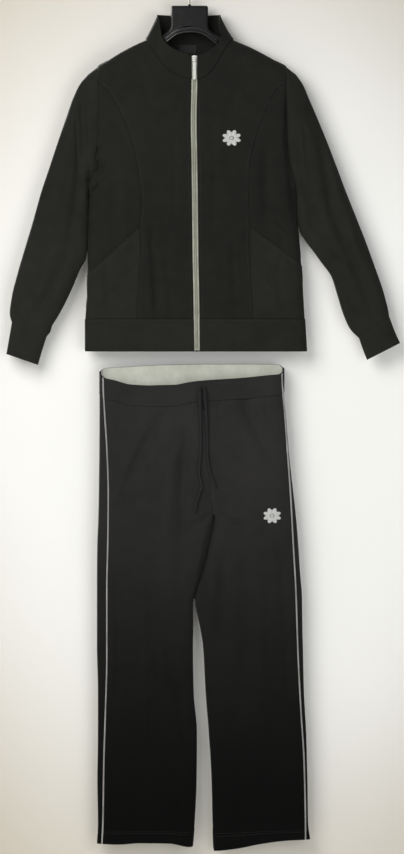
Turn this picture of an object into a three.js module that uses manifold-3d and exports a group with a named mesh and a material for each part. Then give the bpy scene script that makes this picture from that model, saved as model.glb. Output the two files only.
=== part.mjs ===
import * as THREE from 'three';
import * as BufferGeometryUtils from 'three/addons/utils/BufferGeometryUtils.js';
import Module from 'manifold-3d';

// A knitted tracksuit as it hangs: the zipped jacket on a hanger, the trousers flat below it.
// Millimetres. +X is the viewer's right, -Y the front, +Z up. The origin is where the hook hangs.

// Driving sizes
const CLOTH = 1.5;
const DOUBLE_CLOTH = 2.4;
const SEAM_GAP = 0.3;
const FACE_GAP = 0.15;
const ROUNDNESS = 2.4;
const BODY_ROLL = 62;
const SHOULDER_ROLL = 46;
const ARMHOLE_ROLL = 70;
const ARMHOLE_DEPTH = 21;
const ZIP_HALF = 6.3;
const HEM_SEAM = -733;
const HEM_END = -801;
const HEM_STEP = 1.2;
const POCKET_TUCK = 12;
const POCKET_STEP = 2.3;
const LEG_ROLL = 34;
const WAISTBAND_HEIGHT = 44;
const PIPING_WIDTH = 3;
const PIPING_PROUD = 0.9;
const LABEL_WALL = 0.7;
const TAPE_SUNK = 0.4;
const TAPE_WALL = 0.9;
const CHAIN_PROUD = 0.4;
const CHAIN_WALL = 2.2;
const CORD_DIAMETER = 5;
const WIRE_DIAMETER = 3.6;
// Half depth of the garment from which a crease has its full depth
const CREASE_FULL_DEPTH = 14;

// Jacket body: side seams and half depth at each level
const BODY_LEVELS = [
  { z: -801, left: -220.5, right: 245.7, depth: 18 },
  { z: -733, left: -220.5, right: 241.5, depth: 19 },
  { z: -690, left: -217.5, right: 239.0, depth: 20 },
  { z: -630, left: -216.3, right: 235.5, depth: 22 },
  { z: -560, left: -216.0, right: 229.0, depth: 25 },
  { z: -462, left: -214.2, right: 224.7, depth: 28 },
  { z: -380, left: -214.2, right: 224.7, depth: 30 },
  { z: -300, left: -214.2, right: 224.7, depth: 30 },
  { z: -204, left: -214.2, right: 224.7, depth: 28 },
  { z: -110, left: -214.2, right: 224.7, depth: 27 },
];

// Armhole seam from the underarm up to the shoulder point, shared by body and sleeve
const ARMHOLE = [
  { left: [-214.2, -462], right: [224.7, -462] },
  { left: [-211.6, -450], right: [221.8, -450] },
  { left: [-206.5, -432], right: [216.6, -432] },
  { left: [-200.5, -405], right: [210.4, -405] },
  { left: [-195.5, -370], right: [205.5, -370] },
  { left: [-193.4, -325], right: [203.2, -325] },
  { left: [-193.2, -275], right: [202.2, -275] },
  { left: [-193.4, -232], right: [202.4, -232] },
  { left: [-194.2, -213], right: [202.6, -213] },
  { left: [-194.6, -204], right: [202.8, -204] },
];
const ARMHOLE_UNDERARM = 0;
const ARMHOLE_PRINCESS = 7;

// Shoulder seam from the shoulder point up to the side of the neck
const SHOULDER = [
  { left: [-194.6, -204.0], right: [202.8, -204.0] },
  { left: [-172.0, -189.5], right: [178.0, -189.5] },
  { left: [-147.0, -174.0], right: [150.0, -174.0] },
  { left: [-122.0, -160.5], right: [123.0, -160.5] },
  { left: [-104.0, -152.0], right: [102.0, -152.0] },
  { left: [-92.0, -147.0], right: [90.0, -147.0] },
];

// Front neckline from the zip round to the side of the neck
const NECKLINE = [
  { left: [3.0, -231.0], right: [15.6, -231.0] },
  { left: [-14.0, -227.5], right: [32.0, -225.0] },
  { left: [-33.0, -219.0], right: [46.0, -212.0] },
  { left: [-52.0, -204.0], right: [58.0, -194.0] },
  { left: [-67.0, -186.0], right: [68.0, -175.0] },
  { left: [-80.0, -166.0], right: [79.0, -158.0] },
  { left: [-88.5, -151.5], right: [86.5, -150.0] },
];

// Princess seam from the hem band up to the armhole
const PRINCESS = [
  { left: [-112.0, -733], right: [133.0, -733] },
  { left: [-109.0, -690], right: [131.0, -690] },
  { left: [-105.0, -630], right: [127.0, -630] },
  { left: [-103.5, -585], right: [126.0, -585] },
  { left: [-105.0, -542], right: [126.0, -542] },
  { left: [-101.5, -490], right: [123.0, -490] },
  { left: [-106.0, -440], right: [123.5, -440] },
  { left: [-114.5, -390], right: [129.0, -390] },
  { left: [-127.0, -345], right: [140.0, -345] },
  { left: [-145.0, -300], right: [157.0, -300] },
  { left: [-167.0, -260], right: [177.5, -260] },
  { left: [-193.4, -232], right: [202.4, -232] },
];
const PRINCESS_POCKET = 4;

// The pocket opening slopes from the princess seam down to the side seam
const POCKET_SIDE = { left: -641, right: -622 };

// The zip wanders a little as it hangs
const ZIP_LINE = [
  { z: -801, x: 14.7 },
  { z: -690, x: 13.4 },
  { z: -600, x: 11.6 },
  { z: -480, x: 10.4 },
  { z: -400, x: 9.2 },
  { z: -320, x: 7.8 },
  { z: -231, x: 9.3 },
  { z: -180, x: 9.3 },
];

// Sleeve rings from the armhole to the cuff: outer and inner point and half depth
const LEFT_SLEEVE = [
  { outer: [-214, -220], inner: [-217.2, -474], depth: 22 },
  { outer: [-231, -240], inner: [-218.0, -495], depth: 23 },
  { outer: [-245, -268], inner: [-218.6, -520], depth: 24 },
  { outer: [-260.5, -312], inner: [-219.0, -552], depth: 24 },
  { outer: [-277.5, -361], inner: [-219.4, -582], depth: 24 },
  { outer: [-295, -414], inner: [-220.6, -605], depth: 23 },
  { outer: [-313, -468], inner: [-232, -630], depth: 22 },
  { outer: [-329.5, -527], inner: [-246, -666], depth: 21 },
  { outer: [-346.5, -584], inner: [-261.5, -699], depth: 20 },
  { outer: [-362, -637], inner: [-278, -729], depth: 18.5 },
  { outer: [-374, -685], inner: [-289.5, -748], depth: 17.5 },
  { outer: [-378.5, -721], inner: [-293, -760], depth: 16 },
  { outer: [-374, -739], inner: [-299, -766.5], depth: 12.5 },
];
const RIGHT_SLEEVE = [
  { outer: [222.5, -220], inner: [227.7, -474], depth: 22 },
  { outer: [238, -243], inner: [228.4, -491], depth: 23 },
  { outer: [249, -269], inner: [229.0, -508], depth: 24 },
  { outer: [268.8, -315], inner: [229.8, -527], depth: 24 },
  { outer: [288, -362], inner: [231.6, -545], depth: 24 },
  { outer: [306.5, -410], inner: [243, -568], depth: 23 },
  { outer: [327.5, -466], inner: [259, -591], depth: 22 },
  { outer: [348.5, -519], inner: [277.5, -617], depth: 21 },
  { outer: [367.5, -567], inner: [296, -643], depth: 20 },
  { outer: [387.5, -622], inner: [309, -683], depth: 18.5 },
  { outer: [405.5, -674], inner: [321.5, -723], depth: 17.5 },
  { outer: [416.5, -716], inner: [336, -754], depth: 16 },
  { outer: [418.5, -729], inner: [354, -772], depth: 12.5 },
];
const LEFT_CUFF = [
  { outer: [-374.0, -739.4], inner: [-299.6, -766.9], depth: 12.5 },
  { outer: [-379.5, -772], inner: [-309, -795], depth: 11.5 },
  { outer: [-385.5, -806.5], inner: [-319, -829.5], depth: 11 },
];
const RIGHT_CUFF = [
  { outer: [418.9, -729.4], inner: [354.4, -772.4], depth: 12.5 },
  { outer: [429.5, -758], inner: [362.5, -796], depth: 11.5 },
  { outer: [441, -783.5], inner: [371.5, -819], depth: 11 },
];

// Stand collar from the zip round the back: the seam point and the top edge at each station
const COLLAR = [
  { seam: [3.0, -231.0], top: [2.6, -182.5, -31] },
  { seam: [-14.0, -227.5], top: [-12.0, -177.0, -31.5] },
  { seam: [-33.0, -219.0], top: [-29.5, -170.5, -31] },
  { seam: [-52.0, -204.0], top: [-45.0, -160.0, -29] },
  { seam: [-67.0, -186.0], top: [-56.5, -147.0, -25.5] },
  { seam: [-80.0, -166.0], top: [-61.5, -124.0, -18] },
  { seam: [-88.5, -151.5], top: [-64.5, -104.0, -8] },
  { seam: [-92.0, -147.0], top: [-66.5, -95.5, 2], side: true },
  { backX: -86.0, top: [-64.0, -94.0, 12] },
  { backX: -70.0, top: [-53.5, -93.5, 21] },
  { backX: -38.0, top: [-30.0, -94.0, 27] },
  { backX: -1.0, top: [-1.0, -94.5, 29] },
  { backX: 36.0, top: [28.0, -94.0, 27] },
  { backX: 68.0, top: [50.5, -93.5, 21] },
  { backX: 84.0, top: [60.0, -94.0, 12] },
  { seam: [90.0, -147.0], top: [61.5, -95.5, 2], side: true },
  { seam: [86.5, -150.0], top: [60.5, -105.0, -8] },
  { seam: [79.0, -158.0], top: [60.5, -122.0, -18] },
  { seam: [68.0, -175.0], top: [65.0, -140.0, -25.5] },
  { seam: [58.0, -194.0], top: [58.5, -156.0, -29] },
  { seam: [46.0, -212.0], top: [45.0, -169.0, -31] },
  { seam: [32.0, -225.0], top: [30.0, -178.0, -31.5] },
  { seam: [15.6, -231.0], top: [16.0, -183.0, -31] },
];

// Trousers: outer edges, inner edges and half depth at each level
const TROUSER_LEVELS = [
  { z: -1834, left: -195.5, innerLeft: 6.3, innerRight: 48.8, right: 252.5, depth: 10 },
  { z: -1790, left: -193.2, innerLeft: 10.5, innerRight: 46.6, right: 248.0, depth: 11 },
  { z: -1700, left: -194.5, innerLeft: 14.7, innerRight: 44.4, right: 246.5, depth: 12 },
  { z: -1600, left: -193.2, innerLeft: 15.4, innerRight: 38.4, right: 243.8, depth: 13 },
  { z: -1515, left: -193.2, innerLeft: 8.4, innerRight: 31.8, right: 239.2, depth: 14 },
  { z: -1420, left: -195.3, innerLeft: 7.0, innerRight: 26.4, right: 237.0, depth: 15 },
  { z: -1382, left: -195.3, innerLeft: 7.6, innerRight: 20.6, right: 236.0, depth: 15 },
  { z: -1330, left: -195.3, innerLeft: 6.8, innerRight: 10.4, right: 235.4, depth: 16 },
  { z: -1318, left: -195.3, innerLeft: 9.0, innerRight: 9.7, right: 235.2, depth: 16 },
  { z: -1264, left: -195.3, innerLeft: 26.0, innerRight: 26.6, right: 231.0, depth: 17 },
  { z: -1200, left: -194.5, innerLeft: 41.0, innerRight: 41.6, right: 226.8, depth: 18 },
  { z: -1150, left: -192.5, innerLeft: 50.0, innerRight: 50.4, right: 222.6, depth: 18 },
  { z: -1020, left: -190.5, innerLeft: 38.0, innerRight: 38.3, right: 208.5, depth: 18 },
  { z: -930, left: -190.0, innerLeft: 30.0, innerRight: 30.3, right: 201.0, depth: 17 },
  { z: -900, left: -190.0, innerLeft: 28.0, innerRight: 28.3, right: 197.5, depth: 16 },
  { z: -820, left: -190.0, innerLeft: 25.5, innerRight: 25.8, right: 197.5, depth: 15 },
];
const CROTCH = -1148;
const CROTCH_ROLL = 90;

// Piping seams between the front and the side panels
const PIPING_LEVELS = [
  { z: -1834, left: -184.8, right: 242.6 },
  { z: -1790, left: -182.7, right: 242.4 },
  { z: -1660, left: -180.6, right: 239.4 },
  { z: -1560, left: -177.5, right: 233.1 },
  { z: -1440, left: -174.3, right: 226.8 },
  { z: -1300, left: -174.3, right: 222.0 },
  { z: -1200, left: -172.2, right: 216.3 },
  { z: -1100, left: -171.2, right: 211.0 },
  { z: -1000, left: -174.5, right: 204.0 },
  { z: -930, left: -179.0, right: 199.0 },
  { z: -870, left: -181.6, right: 193.0 },
  { z: -820, left: -182.0, right: 192.0 },
];

// Waist edges: the front dips below the back
const WAIST = [
  { x: -190.0, front: -847.0, back: -843.0 },
  { x: -178.0, front: -857.0, back: -836.0 },
  { x: -160.0, front: -861.0, back: -834.5 },
  { x: -124.0, front: -870.5, back: -832.5 },
  { x: -71.0, front: -872.8, back: -829.5 },
  { x: -33.5, front: -871.5, back: -828.5 },
  { x: -3.0, front: -865.8, back: -828.0 },
  { x: 21.0, front: -862.7, back: -827.4 },
  { x: 107.0, front: -856.8, back: -827.4 },
  { x: 170.0, front: -850.5, back: -827.6 },
  { x: 186.0, front: -849.0, back: -828.5 },
  { x: 197.5, front: -842.0, back: -836.0 },
];

// Leg ends
const LEG_HEM = [
  { x: -195, z: -1834.0 },
  { x: -150, z: -1835.5 },
  { x: -105, z: -1832.5 },
  { x: -42, z: -1833.5 },
  { x: 0, z: -1841.0 },
  { x: 7, z: -1840.0 },
  { x: 48, z: -1849.0 },
  { x: 95, z: -1844.5 },
  { x: 147, z: -1834.5 },
  { x: 200, z: -1827.5 },
  { x: 252, z: -1825.0 },
];

// The drawcord ends, hanging from the waistband
const CORD_OUT = 10;
const CORD_EXIT = { left: 21.0, right: 30.5, z: -878 };
const LEFT_CORD = [
  { x: 21.0, z: -905, off: 7 },
  { x: 22.5, z: -945, off: 4.2 },
  { x: 23.1, z: -985, off: 3.6 },
  { x: 22.0, z: -1020, off: 3.6 },
  { x: 19.5, z: -1045, off: 3.6 },
  { x: 20.5, z: -1064, off: 3.6 },
  { x: 25.0, z: -1082, off: 3.6 },
  { x: 20.0, z: -1098, off: 3.6 },
  { x: 14.5, z: -1115, off: 3.8 },
  { x: 10.5, z: -1138, off: 4 },
];
const RIGHT_CORD = [
  { x: 32.0, z: -905, off: 7 },
  { x: 35.0, z: -945, off: 4.2 },
  { x: 36.3, z: -985, off: 3.6 },
  { x: 37.0, z: -1020, off: 3.6 },
  { x: 41.0, z: -1050, off: 3.6 },
  { x: 47.5, z: -1068, off: 3.6 },
  { x: 54.0, z: -1086, off: 3.8 },
];

// Largest creases, as lines on the cloth: a positive depth is a valley, a negative one a ridge
const JACKET_FOLDS = [
  { path: [[-224.5, -238], [-225.5, -378], [-233, -462], [-258, -606]], width: 15, depth: 7 },
  { path: [[-258, -606], [-292, -676], [-330, -735]], width: 17, depth: 4 },
  { path: [[-208, -270], [-207, -340], [-210, -400]], width: 14, depth: -3 },
  { path: [[-262, -330], [-290, -440], [-318, -560]], width: 22, depth: 3 },
  { path: [[-176, -412], [-199, -428], [-222, -450]], width: 12, depth: 6 },
  { path: [[-184, -447], [-203, -482]], width: 10, depth: 4 },
  { path: [[-80, -530], [-67, -733]], width: 15, depth: 4 },
  { path: [[-160, -430], [-158, -560]], width: 16, depth: 2 },
  { path: [[207, -262], [205, -362], [212, -440], [222, -530]], width: 13, depth: 6 },
  { path: [[254, -300], [268, -334], [300, -510], [362, -660], [384, -725]], width: 17, depth: 6 },
  { path: [[222, -350], [241, -466], [277, -545]], width: 15, depth: 3.5 },
  { path: [[160, -360], [160, -545]], width: 15, depth: 3 },
  { path: [[300, -420], [340, -540], [352, -600]], width: 15, depth: -3 },
  { path: [[290, -585], [330, -610]], width: 13, depth: 4 },
];
const BACK_FOLDS = [
  { path: [[-218, -250], [-222, -400], [-250, -580]], width: 16, depth: 5 },
  { path: [[230, -250], [235, -400], [290, -560]], width: 16, depth: 5 },
  { path: [[-120, -420], [-110, -760]], width: 22, depth: 4 },
  { path: [[20, -380], [8, -740]], width: 26, depth: 3 },
  { path: [[130, -400], [138, -760]], width: 22, depth: 4 },
];
const TROUSER_FOLDS = [
  { path: [[-5, -950], [-17, -1090], [-20, -1250], [-14, -1330]], width: 20, depth: 4 },
  { path: [[-45, -920], [-95, -1020], [-150, -1090]], width: 24, depth: 2.5 },
  { path: [[-40, -1370], [-45, -1430], [-20, -1560]], width: 20, depth: 3 },
  { path: [[107, -885], [140, -966], [178, -1040]], width: 22, depth: 3.5 },
  { path: [[62, -1180], [66, -1300], [52, -1430]], width: 18, depth: 2.5 },
  { path: [[120, -1180], [118, -1420], [96, -1600]], width: 26, depth: 2 },
];
const TROUSER_BACK_FOLDS = [
  { path: [[-110, -900], [-90, -1150], [-80, -1500]], width: 24, depth: 3 },
  { path: [[120, -900], [130, -1150], [140, -1500]], width: 24, depth: 3 },
  { path: [[-60, -1130], [10, -1100], [80, -1135]], width: 18, depth: 3 },
];

const material = (color, roughness, metalness) =>
  new THREE.MeshStandardMaterial({ color, roughness, metalness });
const KNIT = () => material(0x1d1e1d, 0.85, 0);
const PALE_KNIT = () => material(0xb4b6ac, 0.8, 0);
const ZIP_CLOTH = () => material(0x9a9c8c, 0.7, 0);
const PIPING = () => material(0xb8b8b4, 0.6, 0);
const METAL = () => material(0xd8d8d2, 0.3, 0.9);
const HANGER_PLASTIC = () => material(0x0c0c0c, 0.3, 0);

const tracksuit = new THREE.Group();
tracksuit.name = 'tracksuit';

// A smooth value between the rows of a table, with no overshoot
function tableValue(rows, key, column, at) {
  const ordered = rows[0][key] < rows[rows.length - 1][key] ? rows : [...rows].reverse();
  const last = ordered.length - 1;
  if (at <= ordered[0][key]) return ordered[0][column];
  if (at >= ordered[last][key]) return ordered[last][column];
  let i = 0;
  while (at > ordered[i + 1][key]) i += 1;
  const slope = (k) =>
    (ordered[k + 1][column] - ordered[k][column]) / (ordered[k + 1][key] - ordered[k][key]);
  const tangent = (k) => {
    if (k === 0) return slope(0);
    if (k === last) return slope(last - 1);
    const before = slope(k - 1);
    const after = slope(k);
    return before * after <= 0 ? 0 : (2 * before * after) / (before + after);
  };
  const span = ordered[i + 1][key] - ordered[i][key];
  const t = (at - ordered[i][key]) / span;
  const rest = 1 - t;
  return (
    ordered[i][column] * (1 + 2 * t) * rest * rest +
    span * tangent(i) * t * rest * rest +
    ordered[i + 1][column] * t * t * (3 - 2 * t) -
    span * tangent(i + 1) * t * t * rest
  );
}

// How far a rounded edge has come out at a share of its width
function roundedEdge(share) {
  const inside = Math.min(Math.max(share, 0), 1);
  return (1 - (1 - inside) ** ROUNDNESS) ** (1 / ROUNDNESS);
}

// Distance from a point to a line of points
function distanceToPath(x, z, path) {
  let nearest = Infinity;
  for (let i = 0; i + 1 < path.length; i += 1) {
    const [ax, az] = path[i];
    const [bx, bz] = path[i + 1];
    const along = ((x - ax) * (bx - ax) + (z - az) * (bz - az)) / ((bx - ax) ** 2 + (bz - az) ** 2);
    const t = Math.min(Math.max(along, 0), 1);
    nearest = Math.min(nearest, Math.hypot(x - ax - t * (bx - ax), z - az - t * (bz - az)));
  }
  return nearest;
}

function foldDepth(x, z, folds) {
  let sum = 0;
  for (const fold of folds) {
    const share = distanceToPath(x, z, fold.path) / fold.width;
    if (share < 1) sum += fold.depth * (1 - share * share) ** 2;
  }
  return sum;
}

// Height of the shoulder seam above a place across the body
function shoulderHeight(x, hand) {
  const rows = SHOULDER.map((row) => ({ x: row[hand][0], z: row[hand][1] }));
  const neck = rows[rows.length - 1];
  const before = rows[rows.length - 2];
  const beyond = hand === 'left' ? x - neck.x : neck.x - x;
  if (beyond > 0) return neck.z + (beyond * (neck.z - before.z)) / Math.abs(neck.x - before.x);
  return tableValue(rows, 'x', 'z', x);
}

function armholeDepth(z) {
  return ARMHOLE_DEPTH * roundedEdge((z - ARMHOLE[ARMHOLE_UNDERARM].left[1]) / ARMHOLE_ROLL);
}

function armholeX(z, hand) {
  const rows = ARMHOLE.map((row) => ({ z: row[hand][1], x: row[hand][0] }));
  return tableValue(rows, 'z', 'x', z);
}

// Half depth of the jacket body at a place seen from the front, without creases
function bodyDepth(x, z) {
  const hand = x < tableValue(ZIP_LINE, 'z', 'x', z) ? 'left' : 'right';
  const underarm = ARMHOLE[ARMHOLE_UNDERARM].left[1];
  const shoulderPoint = SHOULDER[0].left[1];
  const edge =
    z < underarm ? tableValue(BODY_LEVELS, 'z', hand, z) : armholeX(Math.min(z, shoulderPoint), hand);
  const inward = hand === 'left' ? x - edge : edge - x;
  const full = tableValue(BODY_LEVELS, 'z', 'depth', z);
  const atEdge = armholeDepth(z);
  const side = z > shoulderPoint ? 1 : roundedEdge(inward / BODY_ROLL);
  const shoulder = roundedEdge((shoulderHeight(x, hand) - z) / SHOULDER_ROLL);
  return shoulder * (atEdge + (full - atEdge) * side);
}

// Half depth of the trousers, one leg at a time
function trouserDepth(x, z, hand) {
  const outer = tableValue(TROUSER_LEVELS, 'z', hand, z);
  const inner = tableValue(TROUSER_LEVELS, 'z', hand === 'left' ? 'innerLeft' : 'innerRight', z);
  const full = tableValue(TROUSER_LEVELS, 'z', 'depth', z);
  const toOuter = hand === 'left' ? x - outer : outer - x;
  const toInner = hand === 'left' ? inner - x : x - inner;
  const open = roundedEdge((z - CROTCH) / CROTCH_ROLL);
  const inseam = open + (1 - open) * roundedEdge(toInner / LEG_ROLL);
  return full * roundedEdge(toOuter / LEG_ROLL) * inseam;
}

// A face of a garment: its depth at a place, its creases and the way out through it
function garmentFace(depthAt, facing, folds) {
  const probe = 0.05;
  return {
    point(x, z, out = 0) {
      const depth = depthAt(x, z);
      const crease = foldDepth(x, z, folds) * Math.min(depth / CREASE_FULL_DEPTH, 1);
      const place = new THREE.Vector3(x, facing * (FACE_GAP + depth - crease), z);
      return out === 0 ? place : place.addScaledVector(this.normal(x, z), out);
    },
    normal(x, z) {
      const acrossX = (depthAt(x + probe, z) - depthAt(x - probe, z)) / (2 * probe);
      const acrossZ = (depthAt(x, z + probe) - depthAt(x, z - probe)) / (2 * probe);
      return new THREE.Vector3(-acrossX, facing, -acrossZ).normalize();
    },
  };
}

const jacketFront = garmentFace(bodyDepth, -1, JACKET_FOLDS);
const jacketBack = garmentFace(bodyDepth, 1, BACK_FOLDS);

// A closed wall from a grid of outer points and a grid of inner points
function wallMesh(name, outerGrid, innerGrid, finish, ring = false) {
  const rows = outerGrid.length;
  const columns = outerGrid[0].length;
  const positions = [];
  for (const grid of [outerGrid, innerGrid]) {
    for (const row of grid) {
      for (const p of row) positions.push(p.x, p.y, p.z);
    }
  }
  const outer = (r, c) => r * columns + (c % columns);
  const inner = (r, c) => rows * columns + outer(r, c);
  const index = [];
  const quad = (a, b, c, d) => index.push(a, b, c, a, c, d);
  const steps = ring ? columns : columns - 1;
  for (let r = 0; r + 1 < rows; r += 1) {
    for (let c = 0; c < steps; c += 1) {
      quad(outer(r, c), outer(r, c + 1), outer(r + 1, c + 1), outer(r + 1, c));
      quad(inner(r, c), inner(r + 1, c), inner(r + 1, c + 1), inner(r, c + 1));
    }
  }
  for (let c = 0; c < steps; c += 1) {
    quad(outer(0, c), inner(0, c), inner(0, c + 1), outer(0, c + 1));
    quad(outer(rows - 1, c), outer(rows - 1, c + 1), inner(rows - 1, c + 1), inner(rows - 1, c));
  }
  if (!ring) {
    for (let r = 0; r + 1 < rows; r += 1) {
      quad(outer(r, 0), outer(r + 1, 0), inner(r + 1, 0), inner(r, 0));
      const end = columns - 1;
      quad(outer(r, end), inner(r, end), inner(r + 1, end), outer(r + 1, end));
    }
  }
  const geometry = new THREE.BufferGeometry();
  geometry.setAttribute('position', new THREE.Float32BufferAttribute(positions, 3));
  geometry.setIndex(index);
  if (signedVolume(geometry) < 0) {
    for (let i = 0; i < index.length; i += 3) [index[i], index[i + 1]] = [index[i + 1], index[i]];
    geometry.setIndex(index);
  }
  return addMesh(name, geometry, finish);
}

function signedVolume(geometry) {
  const position = geometry.getAttribute('position');
  const index = geometry.getIndex();
  const [a, b, c] = [new THREE.Vector3(), new THREE.Vector3(), new THREE.Vector3()];
  let sum = 0;
  for (let i = 0; i < index.count; i += 3) {
    a.fromBufferAttribute(position, index.getX(i));
    b.fromBufferAttribute(position, index.getX(i + 1));
    c.fromBufferAttribute(position, index.getX(i + 2));
    sum += a.dot(b.cross(c)) / 6;
  }
  return sum;
}

function addMesh(name, geometry, finish) {
  geometry.computeVertexNormals();
  const mesh = new THREE.Mesh(geometry, finish());
  mesh.name = name;
  tracksuit.add(mesh);
  return mesh;
}

// A flat-cut panel: rows run from one edge to the other, each with its own two ends
function clothPanel(name, face, rowEnds, shares, finish, { wall = CLOTH, out = () => 0 } = {}) {
  const outerGrid = [];
  const innerGrid = [];
  for (const { from, to } of rowEnds) {
    const outerRow = [];
    const innerRow = [];
    for (const share of shares) {
      const x = from[0] + (to[0] - from[0]) * share;
      const z = from[1] + (to[1] - from[1]) * share;
      const proud = out(x, z, share);
      outerRow.push(face.point(x, z, proud));
      innerRow.push(face.point(x, z, proud - wall));
    }
    outerGrid.push(outerRow);
    innerGrid.push(innerRow);
  }
  return wallMesh(name, outerGrid, innerGrid, finish);
}

// Shares across a panel, closer together towards the rounded edge at its far end
const shareTowardsEnd = (steps, power) =>
  Array.from({ length: steps + 1 }, (_, i) => 1 - (1 - i / steps) ** power);
// The same towards both ends
const shareBothEnds = (steps, power) =>
  Array.from({ length: steps + 1 }, (_, i) => {
    const t = (2 * i) / steps;
    return t <= 1 ? t ** power / 2 : 1 - (2 - t) ** power / 2;
  });
const evenShares = (steps) => Array.from({ length: steps + 1 }, (_, i) => i / steps);

// Points moved sideways by half a seam
const shifted = ([x, z], dx, dz = 0) => [x + dx, z + dz];
const middleOut = { left: -1, right: 1 };

function sideSeamX(z, hand) {
  return tableValue(BODY_LEVELS, 'z', hand, z);
}

function zipEdge(z, hand) {
  return tableValue(ZIP_LINE, 'z', 'x', z) + middleOut[hand] * ZIP_HALF;
}

function princessX(z, hand) {
  let i = 0;
  while (i + 2 < PRINCESS.length && z > PRINCESS[i + 1][hand][1]) i += 1;
  const [lowX, lowZ] = PRINCESS[i][hand];
  const [highX, highZ] = PRINCESS[i + 1][hand];
  return lowX + ((highX - lowX) * (z - lowZ)) / (highZ - lowZ);
}

// Jacket fronts, pocket fronts and hem band fronts
const HALF_GAP = SEAM_GAP / 2;
const NECK_GAP = 0.25;
const ZIP_ROWS_TOP = -245;
const ZIP_ROWS_FAN = 2;
for (const hand of ['left', 'right']) {
  const outward = middleOut[hand];
  const seamStart = HEM_SEAM + HALF_GAP;

  const centreRows = PRINCESS.map((row, i) => {
    const z = i === 0 ? seamStart : row[hand][1];
    const reach = Math.min(z, ZIP_ROWS_TOP - (PRINCESS.length - 1 - i) * ZIP_ROWS_FAN);
    return { from: [zipEdge(reach, hand), reach], to: shifted([row[hand][0], z], -outward * HALF_GAP) };
  });
  centreRows.push({
    from: shifted(NECKLINE[0][hand], 0, -ZIP_ROWS_FAN),
    to: shifted(ARMHOLE[ARMHOLE_PRINCESS + 1][hand], -outward * HALF_GAP),
  });
  SHOULDER.forEach((row, i) => {
    const from = shifted(NECKLINE[i + 1][hand], outward * NECK_GAP, -NECK_GAP);
    const inward = i === 0 ? -outward * HALF_GAP : 0;
    centreRows.push({ from, to: shifted(row[hand], inward, -SEAM_GAP) });
  });
  clothPanel(`jacket_centre_front_${hand}`, jacketFront, centreRows, shareTowardsEnd(8, 1.5), KNIT);

  const pocketTop = (share) => {
    const inner = PRINCESS[PRINCESS_POCKET][hand];
    const outer = [sideSeamX(POCKET_SIDE[hand], hand), POCKET_SIDE[hand]];
    return [inner[0] + (outer[0] - inner[0]) * share, inner[1] + (outer[1] - inner[1]) * share];
  };
  const sideRows = [];
  const tuckedEnds = { from: pocketTop(0), to: pocketTop(1) };
  sideRows.push({
    from: shifted(tuckedEnds.from, outward * HALF_GAP, -POCKET_TUCK),
    to: shifted(tuckedEnds.to, -outward * 0.3, -POCKET_TUCK),
  });
  const innerHeights = [-542, -525, -507, -490, -465, -440, -415, -390, -345, -300, -260];
  const outerEnds = [-605, -560, -515, -485].map((z) => [sideSeamX(z, hand), z]);
  ARMHOLE.slice(0, ARMHOLE_PRINCESS).forEach((row) => {
    outerEnds.push(shifted(row[hand], -outward * HALF_GAP));
  });
  innerHeights.forEach((z, i) => {
    sideRows.push({ from: [princessX(z, hand) + outward * HALF_GAP, z], to: outerEnds[i] });
  });
  const tip = shifted(ARMHOLE[ARMHOLE_PRINCESS][hand], -outward * HALF_GAP, -4);
  sideRows.push({ from: shifted(tip, -outward * 1.5, -1), to: tip });
  const tuck = (x, z, share) => {
    const near = (pocketTop(share)[1] + POCKET_TUCK - z) / POCKET_TUCK;
    return (-POCKET_STEP / 2) * Math.min(Math.max(near, 0), 1);
  };
  clothPanel(`jacket_side_front_${hand}`, jacketFront, sideRows, shareTowardsEnd(10, 2.1), KNIT, {
    out: tuck,
  });

  const pocketRows = [0, 0.1, 0.28, 0.5, 0.75, 1].map((down) => {
    const top = { from: pocketTop(0), to: pocketTop(1) };
    const z0 = top.from[1] + (seamStart - top.from[1]) * down;
    const z1 = top.to[1] + (seamStart - top.to[1]) * down;
    return {
      from: [princessX(z0, hand) + outward * HALF_GAP, z0],
      to: [sideSeamX(z1, hand), z1],
    };
  });
  clothPanel(`jacket_pocket_front_${hand}`, jacketFront, pocketRows, shareTowardsEnd(10, 2.1), KNIT, {
    out: (x, z, share) => {
      const below = pocketTop(share)[1] - z;
      return (POCKET_STEP / 2) * Math.min(Math.max(2 - below / 20, 0), 1);
    },
  });

  const bandRows = [HEM_SEAM - HALF_GAP, -755, -780, HEM_END].map((z) => ({
    from: [zipEdge(z, hand), z],
    to: [sideSeamX(z, hand), z],
  }));
  clothPanel(`jacket_hem_front_${hand}`, jacketFront, bandRows, shareTowardsEnd(12, 2.1), KNIT, {
    wall: DOUBLE_CLOTH,
    out: () => HEM_STEP,
  });
}

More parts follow.
